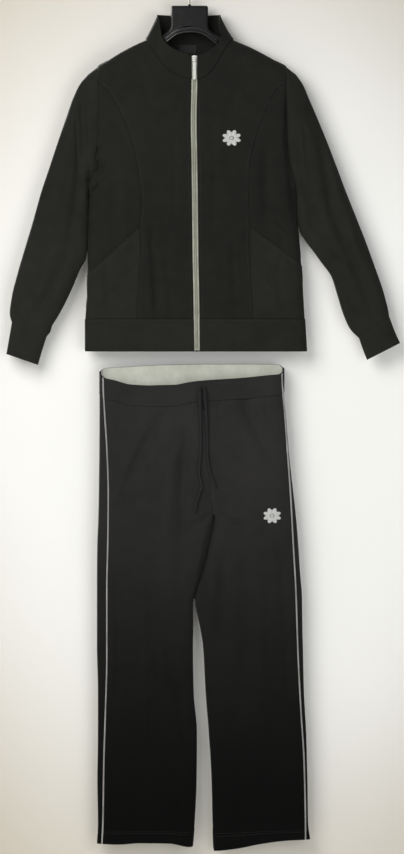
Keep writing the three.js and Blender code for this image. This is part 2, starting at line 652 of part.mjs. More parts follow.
// Jacket back, from the hem band up over the shoulders to the back of the neck
const backRows = [HEM_SEAM + HALF_GAP, -690, -640, -585, -530, -490].map((z) => ({
  from: [sideSeamX(z, 'left'), z],
  to: [sideSeamX(z, 'right'), z],
}));
ARMHOLE.forEach((row) => {
  backRows.push({ from: shifted(row.left, HALF_GAP), to: shifted(row.right, -HALF_GAP) });
});
SHOULDER.slice(1).forEach((row) => {
  backRows.push({ from: shifted(row.left, 0, -SEAM_GAP), to: shifted(row.right, 0, -SEAM_GAP) });
});
const NECK_LEFT = SHOULDER[SHOULDER.length - 1].left;
const NECK_RIGHT = SHOULDER[SHOULDER.length - 1].right;
const BACK_NECK_DIP = 5;
const BACK_NECK_GAP = 0.8;
const backNeckDip = (share) => 4 * share * (1 - share) * BACK_NECK_DIP;
const backShares = shareBothEnds(16, 2);
{
  const outerGrid = [];
  const innerGrid = [];
  backRows.forEach(({ from, to }, r) => {
    const nearNeck = Math.max(0, (r - (backRows.length - 4)) / 3);
    const place = (share, out) => {
      const x = from[0] + (to[0] - from[0]) * share;
      const level = from[1] + (to[1] - from[1]) * share;
      const atNeck = r === backRows.length - 1 ? BACK_NECK_GAP - SEAM_GAP : 0;
      const z = level - nearNeck * backNeckDip(share) - atNeck;
      return jacketBack.point(x, z, out);
    };
    outerGrid.push(backShares.map((share) => place(share, 0)));
    innerGrid.push(backShares.map((share) => place(share, -CLOTH)));
  });
  wallMesh('jacket_back', outerGrid, innerGrid, KNIT);
}
const hemBackRows = [HEM_SEAM - HALF_GAP, -755, -780, HEM_END].map((z) => ({
  from: [sideSeamX(z, 'left'), z],
  to: [sideSeamX(z, 'right'), z],
}));
clothPanel('jacket_hem_back', jacketBack, hemBackRows, shareBothEnds(20, 2), KNIT, {
  wall: DOUBLE_CLOTH,
  out: () => HEM_STEP,
});

// A sleeve ring: the armhole curve at first, then a flattened oval between two edge points
const RING_STEPS = [0, 0.06, 0.16, 0.3, 0.48, 0.66, 0.82, 0.93, 1];
function ovalDepth(share, depth) {
  return depth * Math.max(1 - Math.abs(2 * share - 1) ** ROUNDNESS, 0) ** (1 / ROUNDNESS);
}

function tubeRings(rings, folds, wall) {
  const around = [];
  for (let i = 0; i < RING_STEPS.length; i += 1) around.push({ share: RING_STEPS[i], facing: -1 });
  for (let i = RING_STEPS.length - 2; i > 0; i -= 1) around.push({ share: RING_STEPS[i], facing: 1 });
  const place = (ring, step, inset) => {
    const share = step.share;
    const lengthAcross = Math.hypot(ring.inner[0] - ring.outer[0], ring.inner[1] - ring.outer[1]);
    const eased = inset / lengthAcross + share * (1 - (2 * inset) / lengthAcross);
    const x = ring.outer[0] + (ring.inner[0] - ring.outer[0]) * eased;
    const z = ring.outer[1] + (ring.inner[1] - ring.outer[1]) * eased;
    const depth = ovalDepth(share, ring.depth - inset);
    const crease = foldDepth(x, z, step.facing < 0 ? folds.front : folds.back);
    return new THREE.Vector3(x, step.facing * (depth - crease * Math.min(depth / CREASE_FULL_DEPTH, 1)), z);
  };
  return {
    outerGrid: rings.map((ring) => around.map((step) => place(ring, step, 0))),
    innerGrid: rings.map((ring) => around.map((step) => place(ring, step, wall))),
  };
}

const SLEEVE_FOLDS = { front: JACKET_FOLDS, back: BACK_FOLDS };
const NO_FOLDS = { front: [], back: [] };
for (const [hand, rings, cuffRings] of [
  ['left', LEFT_SLEEVE, LEFT_CUFF],
  ['right', RIGHT_SLEEVE, RIGHT_CUFF],
]) {
  const outward = middleOut[hand];
  const { outerGrid, innerGrid } = tubeRings(rings, SLEEVE_FOLDS, CLOTH);
  const armholeTopDown = [...ARMHOLE].reverse().map((row) => row[hand]);
  const edgeOut = [];
  const edgeIn = [];
  const armholeAt = (k, face) => {
    const [x, z] = armholeTopDown[k];
    const place = face.point(x, z);
    const into = face.normal(x, z).multiplyScalar(-CLOTH);
    place.x += outward * HALF_GAP;
    edgeOut.push(place);
    edgeIn.push(place.clone().add(into));
  };
  const last = armholeTopDown.length - 1;
  const picks = [0, 1, 2, 3, 4, 6, 7, 8, last];
  picks.forEach((k) => armholeAt(k, jacketFront));
  picks.slice(1, -1).reverse().forEach((k) => armholeAt(k, jacketBack));
  for (const k of [0, picks.length - 1]) {
    edgeOut[k].y = 0;
    edgeIn[k].y = 0;
  }
  wallMesh(`sleeve_${hand}`, [edgeOut, ...outerGrid], [edgeIn, ...innerGrid], KNIT, true);
  const cuff = tubeRings(cuffRings, NO_FOLDS, DOUBLE_CLOTH);
  wallMesh(`cuff_${hand}`, cuff.outerGrid, cuff.innerGrid, KNIT, true);
}

// Way out of a grid of points, from its neighbours
function gridNormal(grid, r, c, ring = false) {
  const columns = grid[0].length;
  const row = (k) => Math.min(Math.max(k, 0), grid.length - 1);
  const column = (k) => (ring ? (k + columns) % columns : Math.min(Math.max(k, 0), columns - 1));
  const along = grid[row(r + 1)][c].clone().sub(grid[row(r - 1)][c]);
  const across = grid[r][column(c + 1)].clone().sub(grid[r][column(c - 1)]);
  return across.cross(along).normalize();
}

// Stand collar, standing on the neck seam
const COLLAR_LEVELS = [0, 0.15, 0.45, 0.75, 1];
const COLLAR_WALL = 2;
{
  const backSeamZ = (x) => {
    const share = (x - NECK_LEFT[0]) / (NECK_RIGHT[0] - NECK_LEFT[0]);
    return NECK_LEFT[1] - backNeckDip(share);
  };
  const seamPoints = COLLAR.map(({ seam, backX, side }) => {
    if (backX !== undefined) {
      const z = backSeamZ(backX);
      return { place: jacketBack.point(backX, z), way: jacketBack.normal(backX, z) };
    }
    const [x, z] = seam;
    const front = { place: jacketFront.point(x, z), way: jacketFront.normal(x, z) };
    if (side) {
      front.place.y = 0;
      front.way.add(jacketBack.normal(x, z)).normalize();
    }
    return front;
  });
  const outerGrid = COLLAR_LEVELS.map((level) =>
    COLLAR.map(({ top }, c) => {
      const [x, z, y] = top;
      return seamPoints[c].place.clone().lerp(new THREE.Vector3(x, y, z), level);
    }),
  );
  const innerGrid = outerGrid.map((row, r) =>
    row.map((place, c) => {
      const way = gridNormal(outerGrid, r, c);
      if (r === 0) way.copy(seamPoints[c].way);
      return place.clone().addScaledVector(way, -COLLAR_WALL);
    }),
  );
  wallMesh('collar', outerGrid, innerGrid, KNIT);
}

// Neck label and size tab, both blank, on the inside of the back below the neck seam
function backPatch(name, left, right, top, bottom, lift, finish) {
  const rows = [bottom, top].map((z) => ({ from: [left, z], to: [right, z] }));
  clothPanel(name, jacketBack, rows, evenShares(4), finish, {
    wall: LABEL_WALL,
    out: () => -CLOTH - lift,
  });
}
backPatch('neck_label', -22, 14, -155.5, -174, SEAM_GAP, () => material(0x101010, 0.6, 0));
backPatch('size_tab', -9, -1, -174.6, -181, SEAM_GAP, () => material(0x101010, 0.6, 0));

// Zip: two tapes, the closed chain between them, the slider at the top and its hanging pull
const ZIP_TOP = -182.8;
const ZIP_BOTTOM = -800;
const CHAIN_HALF = 1.9;
const COLLAR_FRONT_Y = -31;
const NECK_BASE = NECKLINE[0].left[1];
function zipFaceY(z) {
  const centre = tableValue(ZIP_LINE, 'z', 'x', z);
  if (z <= NECK_BASE) return jacketFront.point(centre, z).y;
  const base = jacketFront.point(centre, NECK_BASE).y;
  return base + ((COLLAR_FRONT_Y - base) * (z - NECK_BASE)) / (ZIP_TOP - NECK_BASE);
}
const zipHeights = evenShares(16).map((share) => ZIP_TOP + (ZIP_BOTTOM - ZIP_TOP) * share);
zipHeights.splice(2, 0, NECK_BASE);
zipHeights.sort((a, b) => a - b);
function zipStrip(name, fromX, toX, proud, thick, finish) {
  const grid = (out) =>
    zipHeights.map((z) => {
      const centre = tableValue(ZIP_LINE, 'z', 'x', z);
      return [fromX, toX].map((dx) => new THREE.Vector3(centre + dx, zipFaceY(z) - out, z));
    });
  wallMesh(name, grid(proud), grid(proud - thick), finish);
}
const TAPE_EDGE = ZIP_HALF - SEAM_GAP;
zipStrip('zip_tape_left', -TAPE_EDGE, -CHAIN_HALF - SEAM_GAP, -TAPE_SUNK, TAPE_WALL, ZIP_CLOTH);
zipStrip('zip_tape_right', CHAIN_HALF + SEAM_GAP, TAPE_EDGE, -TAPE_SUNK, TAPE_WALL, ZIP_CLOTH);
zipStrip('zip_chain', -CHAIN_HALF, CHAIN_HALF, CHAIN_PROUD, CHAIN_WALL, ZIP_CLOTH);

const wasm = await Module();
wasm.setup();
function solidFrom(geometry) {
  const plain = geometry.index ? geometry.toNonIndexed() : geometry.clone();
  plain.deleteAttribute('normal');
  plain.deleteAttribute('uv');
  const merged = BufferGeometryUtils.mergeVertices(plain, 1e-4);
  return new wasm.Manifold(
    new wasm.Mesh({
      numProp: 3,
      vertProperties: merged.getAttribute('position').array,
      triVerts: new Uint32Array(merged.getIndex().array),
    }),
  );
}
function geometryFrom(solid) {
  const mesh = solid.getMesh();
  const geometry = new THREE.BufferGeometry();
  geometry.setAttribute('position', new THREE.BufferAttribute(mesh.vertProperties, 3));
  geometry.setIndex(new THREE.BufferAttribute(mesh.triVerts, 1));
  return geometry;
}
const joined = (geometries) => geometryFrom(geometries.map(solidFrom).reduce((a, b) => a.add(b)));

// Turns a shape drawn as seen from the front into a plate of that thickness, centred on a depth
function frontPlate(shape, thickness, centreY, options = {}) {
  const bevel = options.bevelThickness ?? 0;
  const geometry = new THREE.ExtrudeGeometry(shape, {
    depth: thickness - 2 * bevel,
    bevelEnabled: bevel > 0,
    bevelSize: bevel,
    bevelOffset: -bevel,
    curveSegments: 8,
    ...options,
  });
  return geometry.rotateX(Math.PI / 2).translate(0, centreY + thickness / 2 - bevel, 0);
}

const PIN_Z = -189.4;
const PIN_X = tableValue(ZIP_LINE, 'z', 'x', PIN_Z);
const PIN_RADIUS = 0.7;
const SLIDER_THICK = 1.8;
const SLIDER_BACK_Y = zipFaceY(PIN_Z) - CHAIN_PROUD - SEAM_GAP;
const SLIDER_FRONT_Y = SLIDER_BACK_Y - SLIDER_THICK;
const PIN_Y = SLIDER_FRONT_Y - 2.3;
const EAR_INSIDE = 2.05;
const EAR_WIDTH = 1.1;
{
  const plate = new THREE.Shape();
  plate.moveTo(PIN_X - 4.3, PIN_Z + 6.2);
  plate.lineTo(PIN_X - 3.4, PIN_Z - 4.6);
  plate.lineTo(PIN_X + 3.4, PIN_Z - 4.6);
  plate.lineTo(PIN_X + 4.3, PIN_Z + 6.2);
  plate.lineTo(PIN_X, PIN_Z + 7.4);
  const body = frontPlate(plate, SLIDER_THICK, SLIDER_BACK_Y - SLIDER_THICK / 2);
  const earDepth = 3.6;
  const ears = [-1, 1].map((side) =>
    new THREE.BoxGeometry(EAR_WIDTH, earDepth, 3.4).translate(
      PIN_X + side * (EAR_INSIDE + EAR_WIDTH / 2),
      SLIDER_FRONT_Y - earDepth / 2 + 0.2,
      PIN_Z,
    ),
  );
  const pin = new THREE.CylinderGeometry(PIN_RADIUS, PIN_RADIUS, 2 * EAR_INSIDE + EAR_WIDTH, 12);
  pin.rotateZ(Math.PI / 2).translate(PIN_X, PIN_Y, PIN_Z);
  addMesh('zip_slider', joined([body, ...ears, pin]), METAL);
}
{
  const knuckleLength = 3.4;
  const knuckle = new THREE.Shape();
  knuckle.absarc(0, 0, 1.9, 0, 2 * Math.PI);
  const bore = new THREE.Path();
  bore.absarc(0, 0, 1.0, 0, 2 * Math.PI, true);
  knuckle.holes.push(bore);
  const barrel = new THREE.ExtrudeGeometry(knuckle, {
    depth: knuckleLength,
    bevelEnabled: false,
    curveSegments: 8,
  });
  barrel.rotateY(Math.PI / 2).translate(PIN_X - knuckleLength / 2, PIN_Y, PIN_Z);
  const tab = new THREE.Shape();
  const halfNarrow = knuckleLength / 2;
  const halfWide = 3.3;
  tab.moveTo(PIN_X - halfNarrow, PIN_Z - 1.5);
  tab.lineTo(PIN_X - halfNarrow, PIN_Z - 5);
  tab.lineTo(PIN_X - halfWide, PIN_Z - 9);
  tab.lineTo(PIN_X - halfWide, PIN_Z - 40.7);
  tab.absarc(PIN_X, PIN_Z - 40.7, halfWide, Math.PI, 2 * Math.PI);
  tab.lineTo(PIN_X + halfWide, PIN_Z - 9);
  tab.lineTo(PIN_X + halfNarrow, PIN_Z - 5);
  tab.lineTo(PIN_X + halfNarrow, PIN_Z - 1.5);
  addMesh('zip_pull', joined([barrel, frontPlate(tab, 1.4, PIN_Y)]), METAL);
}

// Hanger: one moulded body, a block at the neck and an arm under each shoulder
const HANGER_THICK = 14;
const HANGER_BEVEL = 4;
const HANGER_TOP = -75.6;
const BLOCK_HALF = 39;
const BLOCK_X = -1;
const ARM_CLEARANCE = 2.8;
{
  const armTop = (x, hand) => [x, shoulderHeight(x, hand) - ARM_CLEARANCE];
  const armLow = (x, hand) => {
    const [, z] = armTop(x, hand);
    return [x, z - 15 - Math.max(Math.abs(x) - 50, 0) * 0.04];
  };
  const outline = new THREE.Shape();
  outline.moveTo(BLOCK_X - BLOCK_HALF + 5, HANGER_TOP);
  outline.lineTo(BLOCK_X + BLOCK_HALF - 5, HANGER_TOP);
  outline.quadraticCurveTo(BLOCK_X + BLOCK_HALF, HANGER_TOP, BLOCK_X + BLOCK_HALF, HANGER_TOP - 5);
  outline.lineTo(BLOCK_X + BLOCK_HALF, -118);
  outline.quadraticCurveTo(BLOCK_X + BLOCK_HALF + 1, -128, ...armTop(54, 'right'));
  [90, 102, 123, 150, 172].forEach((x) => outline.lineTo(...armTop(x, 'right')));
  outline.quadraticCurveTo(188, armTop(186, 'right')[1] - 1, 186, armLow(182, 'right')[1]);
  [172, 140, 102, 70].forEach((x) => outline.lineTo(...armLow(x, 'right')));
  outline.lineTo(57, -151);
  outline.quadraticCurveTo(28, -121, -4, -119.7);
  outline.quadraticCurveTo(-30, -121, -46, -143);
  [-70, -104, -140, -166].forEach((x) => outline.lineTo(...armLow(x, 'left')));
  outline.lineTo(-180, armLow(-176, 'left')[1]);
  outline.quadraticCurveTo(-182, armTop(-180, 'left')[1] - 1, ...armTop(-168, 'left'));
  [-147, -122, -104, -92, -56].forEach((x) => outline.lineTo(...armTop(x, 'left')));
  outline.quadraticCurveTo(BLOCK_X - BLOCK_HALF - 1, -128, BLOCK_X - BLOCK_HALF, -118);
  outline.lineTo(BLOCK_X - BLOCK_HALF, HANGER_TOP - 5);
  outline.quadraticCurveTo(BLOCK_X - BLOCK_HALF, HANGER_TOP, BLOCK_X - BLOCK_HALF + 5, HANGER_TOP);
  const body = frontPlate(outline, HANGER_THICK, 0, {
    bevelThickness: HANGER_BEVEL,
    bevelSegments: 2,
    curveSegments: 4,
  });
  addMesh('hanger_body', body, HANGER_PLASTIC);
}

// A round wire or cord along a path
function roundAlong(name, points, diameter, steps, finish) {
  const section = new THREE.Shape();
  const sides = 8;
  for (let i = 0; i < sides; i += 1) {
    const angle = (2 * Math.PI * i) / sides;
    const [u, v] = [(diameter / 2) * Math.cos(angle), (diameter / 2) * Math.sin(angle)];
    if (i === 0) section.moveTo(u, v);
    else section.lineTo(u, v);
  }
  const path = new THREE.CatmullRomCurve3(points, false, 'centripetal');
  const tube = new THREE.ExtrudeGeometry(section, { steps, bevelEnabled: false, extrudePath: path });
  return addMesh(name, tube, finish);
}
const HOOK_RADIUS = 22.8;
{
  const points = [
    new THREE.Vector3(BLOCK_X, 0, HANGER_TOP + SEAM_GAP),
    new THREE.Vector3(BLOCK_X, 0, -66),
    new THREE.Vector3(BLOCK_X + 0.5, 0, -57),
    new THREE.Vector3(BLOCK_X + 4, 0, -48.5),
  ];
  const centreZ = WIRE_DIAMETER / 2 - HOOK_RADIUS;
  for (let degrees = -50; degrees <= 195; degrees += 17.5) {
    const angle = (degrees * Math.PI) / 180;
    points.push(
      new THREE.Vector3(HOOK_RADIUS * Math.cos(angle), 0, centreZ + HOOK_RADIUS * Math.sin(angle)),
    );
  }
  roundAlong('hanger_hook', points, WIRE_DIAMETER, 26, METAL);
}

// Trousers
const trouserFace = (hand, facing, folds) =>
  garmentFace((x, z) => trouserDepth(x, z, hand), facing, folds);
const innerX = (z, hand) =>
  tableValue(TROUSER_LEVELS, 'z', hand === 'left' ? 'innerLeft' : 'innerRight', z);
const outerX = (z, hand) => tableValue(TROUSER_LEVELS, 'z', hand, z);
const pipingX = (z, hand) => tableValue(PIPING_LEVELS, 'z', hand, z);
const waistZ = (x, edge) => tableValue(WAIST, 'x', edge, x);
const hemZ = (x) => tableValue(LEG_HEM, 'x', 'z', x);
const LEG_HEIGHTS = [
  -1800, -1740, -1670, -1600, -1515, -1450, -1390, -1345, -1318, -1264, -1200, -1165, CROTCH, -1135, -1110,
  -1070, -1020, -970, -930,
];
const legRows = LEG_HEIGHTS.length + 2;
// Height of a row of the leg at a place across it: the first row is the hem, the last the waist seam
function legHeight(row, x, edge) {
  if (row === 0) return hemZ(x);
  if (row === legRows - 1) return waistZ(x, edge) - WAISTBAND_HEIGHT - HALF_GAP;
  return LEG_HEIGHTS[row - 1];
}
const HEM_LEVEL = TROUSER_LEVELS[0].z;
const WAIST_SEAM_LEVEL = -895;
function rowLevel(row) {
  if (row === 0) return HEM_LEVEL;
  if (row === legRows - 1) return WAIST_SEAM_LEVEL;
  return LEG_HEIGHTS[row - 1];
}
const PANEL_EDGE = PIPING_WIDTH / 2 + HALF_GAP;

const panelShares = shareBothEnds(8, 1.7);
const sideShares = [0, 0.5, 0.85, 0.985];

for (const hand of ['left', 'right']) {
  const outward = middleOut[hand];
  for (const [side, facing, folds] of [
    ['front', -1, TROUSER_FOLDS],
    ['back', 1, TROUSER_BACK_FOLDS],
  ]) {
    const face = trouserFace(hand, facing, folds);
    const edgeGap = side === 'front' ? PANEL_EDGE : SEAM_GAP;
    const grid = (out) =>
      Array.from({ length: legRows }, (_, row) =>
        panelShares.map((share) => {
          const level = rowLevel(row);
          const from = innerX(level, hand);
          const to = pipingX(level, hand) - outward * edgeGap;
          const x = from + (to - from) * share;
          return face.point(x, legHeight(row, x, side), out);
        }),
      );
    wallMesh(`trouser_${side}_${hand}`, grid(0), grid(-CLOTH), KNIT);
  }

  const front = trouserFace(hand, -1, TROUSER_FOLDS);
  const back = trouserFace(hand, 1, TROUSER_BACK_FOLDS);
  const sideGrid = (out) =>
    Array.from({ length: legRows }, (_, row) => {
      const level = rowLevel(row);
      const edge = outerX(level, hand);
      const across = (share, start) => start + (edge - start) * share;
      const frontStart = pipingX(level, hand) + outward * PANEL_EDGE;
      const backStart = pipingX(level, hand);
      const frontPart = sideShares.map((share) => {
        const x = across(share, frontStart);
        return front.point(x, legHeight(row, x, 'front'), out);
      });
      const backPart = sideShares.map((share) => {
        const x = across(share, backStart);
        return back.point(x, legHeight(row, x, 'back'), out);
      });
      const middleZ = Math.min(legHeight(row, edge, 'front'), legHeight(row, edge, 'back')) - HALF_GAP;
      const fold = new THREE.Vector3(edge + outward * out, 0, middleZ);
      return [...frontPart, fold, ...backPart.reverse()];
    });
  wallMesh(`trouser_side_${hand}`, sideGrid(0), sideGrid(-CLOTH), KNIT);

  const pipingGrid = (out) =>
    Array.from({ length: legRows }, (_, row) => {
      const middle = pipingX(rowLevel(row), hand);
      return [-1, 1].map((end) => {
        const x = middle + (end * PIPING_WIDTH) / 2;
        return front.point(x, legHeight(row, x, 'front'), out);
      });
    });
  wallMesh(`piping_${hand}`, pipingGrid(PIPING_PROUD), pipingGrid(-CLOTH), PIPING);
}

// Waistband with its pale facing, front and back
const BAND_PROUD = 0.8;
const FACING_WALL = 0.9;
const faceAt = (x, z, facing) => {
  const hand = x < innerX(z, 'left') + HALF_GAP ? 'left' : 'right';
  return trouserFace(hand, facing, []);
};
// Places across the waist, at the edges of every panel row below it
function waistStations(side) {
  const level = rowLevel(legRows - 1);
  const stations = [];
  for (const hand of ['left', 'right']) {
    const outward = middleOut[hand];
    const edge = outerX(level, hand);
    const start = pipingX(level, hand) + (side === 'front' ? outward * PANEL_EDGE : 0);
    sideShares.forEach((share) => stations.push(start + (edge - start) * share));
    const to = pipingX(level, hand) - outward * (side === 'front' ? PANEL_EDGE : SEAM_GAP);
    const from = innerX(level, hand);
    panelShares.slice(1).forEach((share) => stations.push(from + (to - from) * share));
    stations.push(edge);
  }
  stations.push(innerX(level, 'left') + HALF_GAP);
  return stations.sort((p, q) => p - q);
}
for (const [side, facing] of [
  ['front', -1],
  ['back', 1],
]) {
  const stations = waistStations(side);
  const grid = (places, out, drops) =>
    drops.map((drop) =>
      places.map((x) => {
        const z = waistZ(x, side) - drop;
        return faceAt(x, z, facing).point(x, z, out);
      }),
    );
  const bandDrops = [WAISTBAND_HEIGHT - HALF_GAP, WAISTBAND_HEIGHT / 2, 0];
  const bandIn = BAND_PROUD - DOUBLE_CLOTH;
  wallMesh(
    `waistband_${side}`,
    grid(stations, BAND_PROUD, bandDrops),
    grid(stations, bandIn, bandDrops),
    KNIT,
  );
  const facingPlaces = stations.slice(3, -3);
  const facingOut = bandIn - SEAM_GAP;
  const facingDrops = [WAISTBAND_HEIGHT - 1.5, WAISTBAND_HEIGHT / 2, 0.6];
  wallMesh(
    `waist_facing_${side}`,
    grid(facingPlaces, facingOut, facingDrops),
    grid(facingPlaces, facingOut - FACING_WALL, facingDrops),
    PALE_KNIT,
  );
}

// Drawcord ends: straight out of the waistband, over, and down the front
const FULLEST_LEG = Math.max(...TROUSER_LEVELS.map((row) => row.depth));
for (const [hand, route] of [
  ['left', LEFT_CORD],
  ['right', RIGHT_CORD],
]) {
  const exitX = CORD_EXIT[hand];
  const exitZ = CORD_EXIT.z;
  const bandFace = faceAt(exitX, exitZ, -1).point(exitX, exitZ, BAND_PROUD).y;
  const points = [
    new THREE.Vector3(exitX, bandFace - SEAM_GAP - 0.1, exitZ),
    new THREE.Vector3(exitX, bandFace - CORD_OUT * 0.55, exitZ - 0.8),
    new THREE.Vector3(exitX, bandFace - CORD_OUT * 0.95, exitZ - 5),
  ];
  route.forEach(({ x, z, off }) => {
    points.push(new THREE.Vector3(x, -(FACE_GAP + FULLEST_LEG + off), z));
  });
  roundAlong(`drawcord_${hand}`, points, CORD_DIAMETER, 26, KNIT);
}

export default tracksuit;
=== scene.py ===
import math

import bpy
import numpy as np
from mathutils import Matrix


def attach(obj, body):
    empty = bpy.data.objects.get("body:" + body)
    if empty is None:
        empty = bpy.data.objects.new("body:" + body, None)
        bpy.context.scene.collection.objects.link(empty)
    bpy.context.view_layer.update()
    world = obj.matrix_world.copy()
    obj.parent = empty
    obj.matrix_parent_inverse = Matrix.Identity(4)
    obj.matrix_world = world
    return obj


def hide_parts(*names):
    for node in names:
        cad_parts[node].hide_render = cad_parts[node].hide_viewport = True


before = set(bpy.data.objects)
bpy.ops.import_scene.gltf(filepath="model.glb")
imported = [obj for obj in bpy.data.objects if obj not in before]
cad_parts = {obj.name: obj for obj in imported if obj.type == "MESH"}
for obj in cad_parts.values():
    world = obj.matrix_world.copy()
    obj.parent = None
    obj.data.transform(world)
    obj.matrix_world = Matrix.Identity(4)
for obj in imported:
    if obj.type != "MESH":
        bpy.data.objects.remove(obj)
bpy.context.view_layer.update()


# The room: an off-white painted wall close behind the suit and a pale floor below it, neither
# part of the suit. Its colour carries painted light: bright round a middle point and painted
# darker and warmer towards the corners, as shade. From behind, the wall lets the camera through.
class Field:
    """A value over a surface. Its operators add Math nodes; node() adds any other kind."""

    def __init__(self, tree, socket=None):
        self.tree = tree
        self.socket = socket

    def feed(self, socket, value):
        if isinstance(value, Field):
            self.tree.links.new(value.socket, socket)
        else:
            socket.default_value = value

    def node(self, kind, settings=None, sockets=None, output=0):
        made = self.tree.nodes.new(f"ShaderNode{kind}")
        for name, value in (settings or {}).items():
            if name == "stops":
                ramp = made.color_ramp
                while len(ramp.elements) < len(value):
                    ramp.elements.new(0.5)
                for element, (position, colour) in zip(ramp.elements, value):
                    element.position = position
                    element.color = (*colour, 1)
            else:
                setattr(made, name, value)
        for name, value in (sockets or {}).items():
            self.feed(made.inputs[name], value)
        return Field(self.tree, made.outputs[output])

    def math(self, operation, *values):
        return self.node("Math", {"operation": operation}, dict(enumerate(values)))

    def __add__(self, other):
        return self.math("ADD", self, other)

    def __sub__(self, other):
        return self.math("SUBTRACT", self, other)

    def __rsub__(self, other):
        return self.math("SUBTRACT", other, self)

    def __mul__(self, other):
        return self.math("MULTIPLY", self, other)

    def __pow__(self, other):
        return self.math("POWER", self, other)

    __radd__ = __add__
    __rmul__ = __mul__

    def sine(self):
        return self.math("SINE", self)

    def size(self):
        return self.math("ABSOLUTE", self)

    def part(self, axis):
        return self.node("SeparateXYZ", sockets={0: self}, output=axis)

    def noise(self, scale, detail=2.0, roughness=0.5):
        sockets = {"Vector": self, "Scale": scale, "Detail": detail, "Roughness": roughness}
        return self.node("TexNoise", sockets=sockets)

    def ramp(self, low, high):
        """0 below low, 1 above high, smooth between."""
        sockets = {"Value": self, "From Min": low, "From Max": high}
        return self.node("MapRange", {"interpolation_type": "SMOOTHSTEP"}, sockets)

    def mix(self, first, second):
        """A colour from first to second, by this value."""
        sockets = {0: self, 6: colour_of(first), 7: colour_of(second)}
        return self.node("Mix", {"data_type": "RGBA"}, sockets, output=2)

    def bump(self, depth, strength=1.0):
        return self.node("Bump", sockets={"Height": self, "Distance": depth, "Strength": strength})


def colour_of(value):
    return value if isinstance(value, Field) else (*value, 1)


def start_finish(name, constants):
    """A new material, the shader that its Fields feed, and a Field of places on the piece."""
    material = bpy.data.materials.new(name)
    material.use_nodes = True
    shader = material.node_tree.nodes["Principled BSDF"]
    for socket, value in constants.items():
        shader.inputs[socket].default_value = value
    place = Field(material.node_tree).node("TexCoord", output="Object")
    return material, shader, place


def paint(shader, place, sockets):
    for name, value in sockets.items():
        place.feed(shader.inputs[name], value)


WALL_Y = 0.036
PAINTED_LIGHT_MIDDLE = (0.1, WALL_Y, -0.93)
WALL_HALF_WIDTH = 1.1
WALL_TOP = 0.35
FLOOR_Z = -1.98


def flat_plane(name, corners, finish):
    mesh = bpy.data.meshes.new(name)
    mesh.from_pydata(corners, [], [(0, 1, 2, 3)])
    mesh.materials.append(finish)
    plane = bpy.data.objects.new(name, mesh)
    bpy.context.scene.collection.objects.link(plane)
    # Lamps behind the wall reach the back of the suit
    plane.visible_shadow = False
    return plane


def wall_finish():
    material, shader, place = start_finish("wall_paint", {"Roughness": 0.9})
    from_middle = place.node("VectorMath", {"operation": "SUBTRACT"}, {0: place, 1: PAINTED_LIGHT_MIDDLE})
    across, up = from_middle.part("X"), from_middle.part("Z")
    # Painted light falloff: the colour is painted darker and warmer with distance from the middle point, as
    # shade towards the corners.
    reach = (across * across + up * up * 0.62) ** 0.5
    shade = reach.ramp(0.4, 1.04) + (place.noise(2.2) - 0.5) * 0.12
    colour = shade.mix((0.9, 0.905, 0.885), (0.5, 0.455, 0.375))
    behind = place.node("NewGeometry", output="Backfacing")
    paint(shader, place, {"Base Color": colour, "Normal": place.noise(900).bump(0.0002, 0.3)})
    clear = place.node("BsdfTransparent")
    both = place.node("MixShader", sockets={0: behind, 1: Field(place.tree, shader.outputs[0]), 2: clear})
    output = place.tree.nodes["Material Output"]
    place.feed(output.inputs["Surface"], both)
    return material


def floor_finish():
    material, shader, place = start_finish("floor_paint", {"Roughness": 0.7})
    paint(shader, place, {"Base Color": place.noise(3.0).mix((0.62, 0.6, 0.56), (0.7, 0.68, 0.64))})
    return material


flat_plane(
    "wall",
    [
        (-WALL_HALF_WIDTH, WALL_Y, FLOOR_Z),
        (WALL_HALF_WIDTH, WALL_Y, FLOOR_Z),
        (WALL_HALF_WIDTH, WALL_Y, WALL_TOP),
        (-WALL_HALF_WIDTH, WALL_Y, WALL_TOP),
    ],
    wall_finish(),
)
flat_plane(
    "floor", [(-3, -3, FLOOR_Z), (3, -3, FLOOR_Z), (3, 3, FLOOR_Z), (-3, 3, FLOOR_Z)], floor_finish()
)


# The light: a wide soft lamp above and left of the camera, a weaker one low on the right, and one
# behind the suit that reaches its back through the wall. The room itself adds a little.
def soft_lamp(name, place, target, power, size, colour):
    lamp = bpy.data.lights.new(name, "AREA")
    lamp.energy = power
    lamp.size = size
    lamp.color = colour
    holder = bpy.data.objects.new(name, lamp)
    bpy.context.scene.collection.objects.link(holder)
    holder.location = place
    aim = np.subtract(target, place)
    holder.rotation_euler = (
        math.atan2(math.hypot(aim[0], aim[1]), -aim[2]),
        0,
        math.atan2(aim[1], aim[0]) - math.pi / 2,
    )


soft_lamp("key_light", (-1.15, -2.0, 0.35), (0.02, 0, -0.95), 51, 1.7, (1.0, 0.985, 0.96))
soft_lamp("fill_light", (1.1, -2.3, -1.15), (0.05, 0, -1.0), 20, 1.6, (0.97, 0.98, 1.0))
soft_lamp("back_light", (-1.3, 1.9, 0.3), (0, 0, -0.8), 150, 1.2, (1.0, 0.99, 0.97))
ROOM_LIGHT = 0.2
world = bpy.data.worlds.new("studio")
world.use_nodes = True
world.node_tree.nodes["Background"].inputs["Color"].default_value = (0.93, 0.94, 0.95, 1)
world.node_tree.nodes["Background"].inputs["Strength"].default_value = ROOM_LIGHT
bpy.context.scene.world = world
bpy.context.scene.view_settings.view_transform = "Standard"


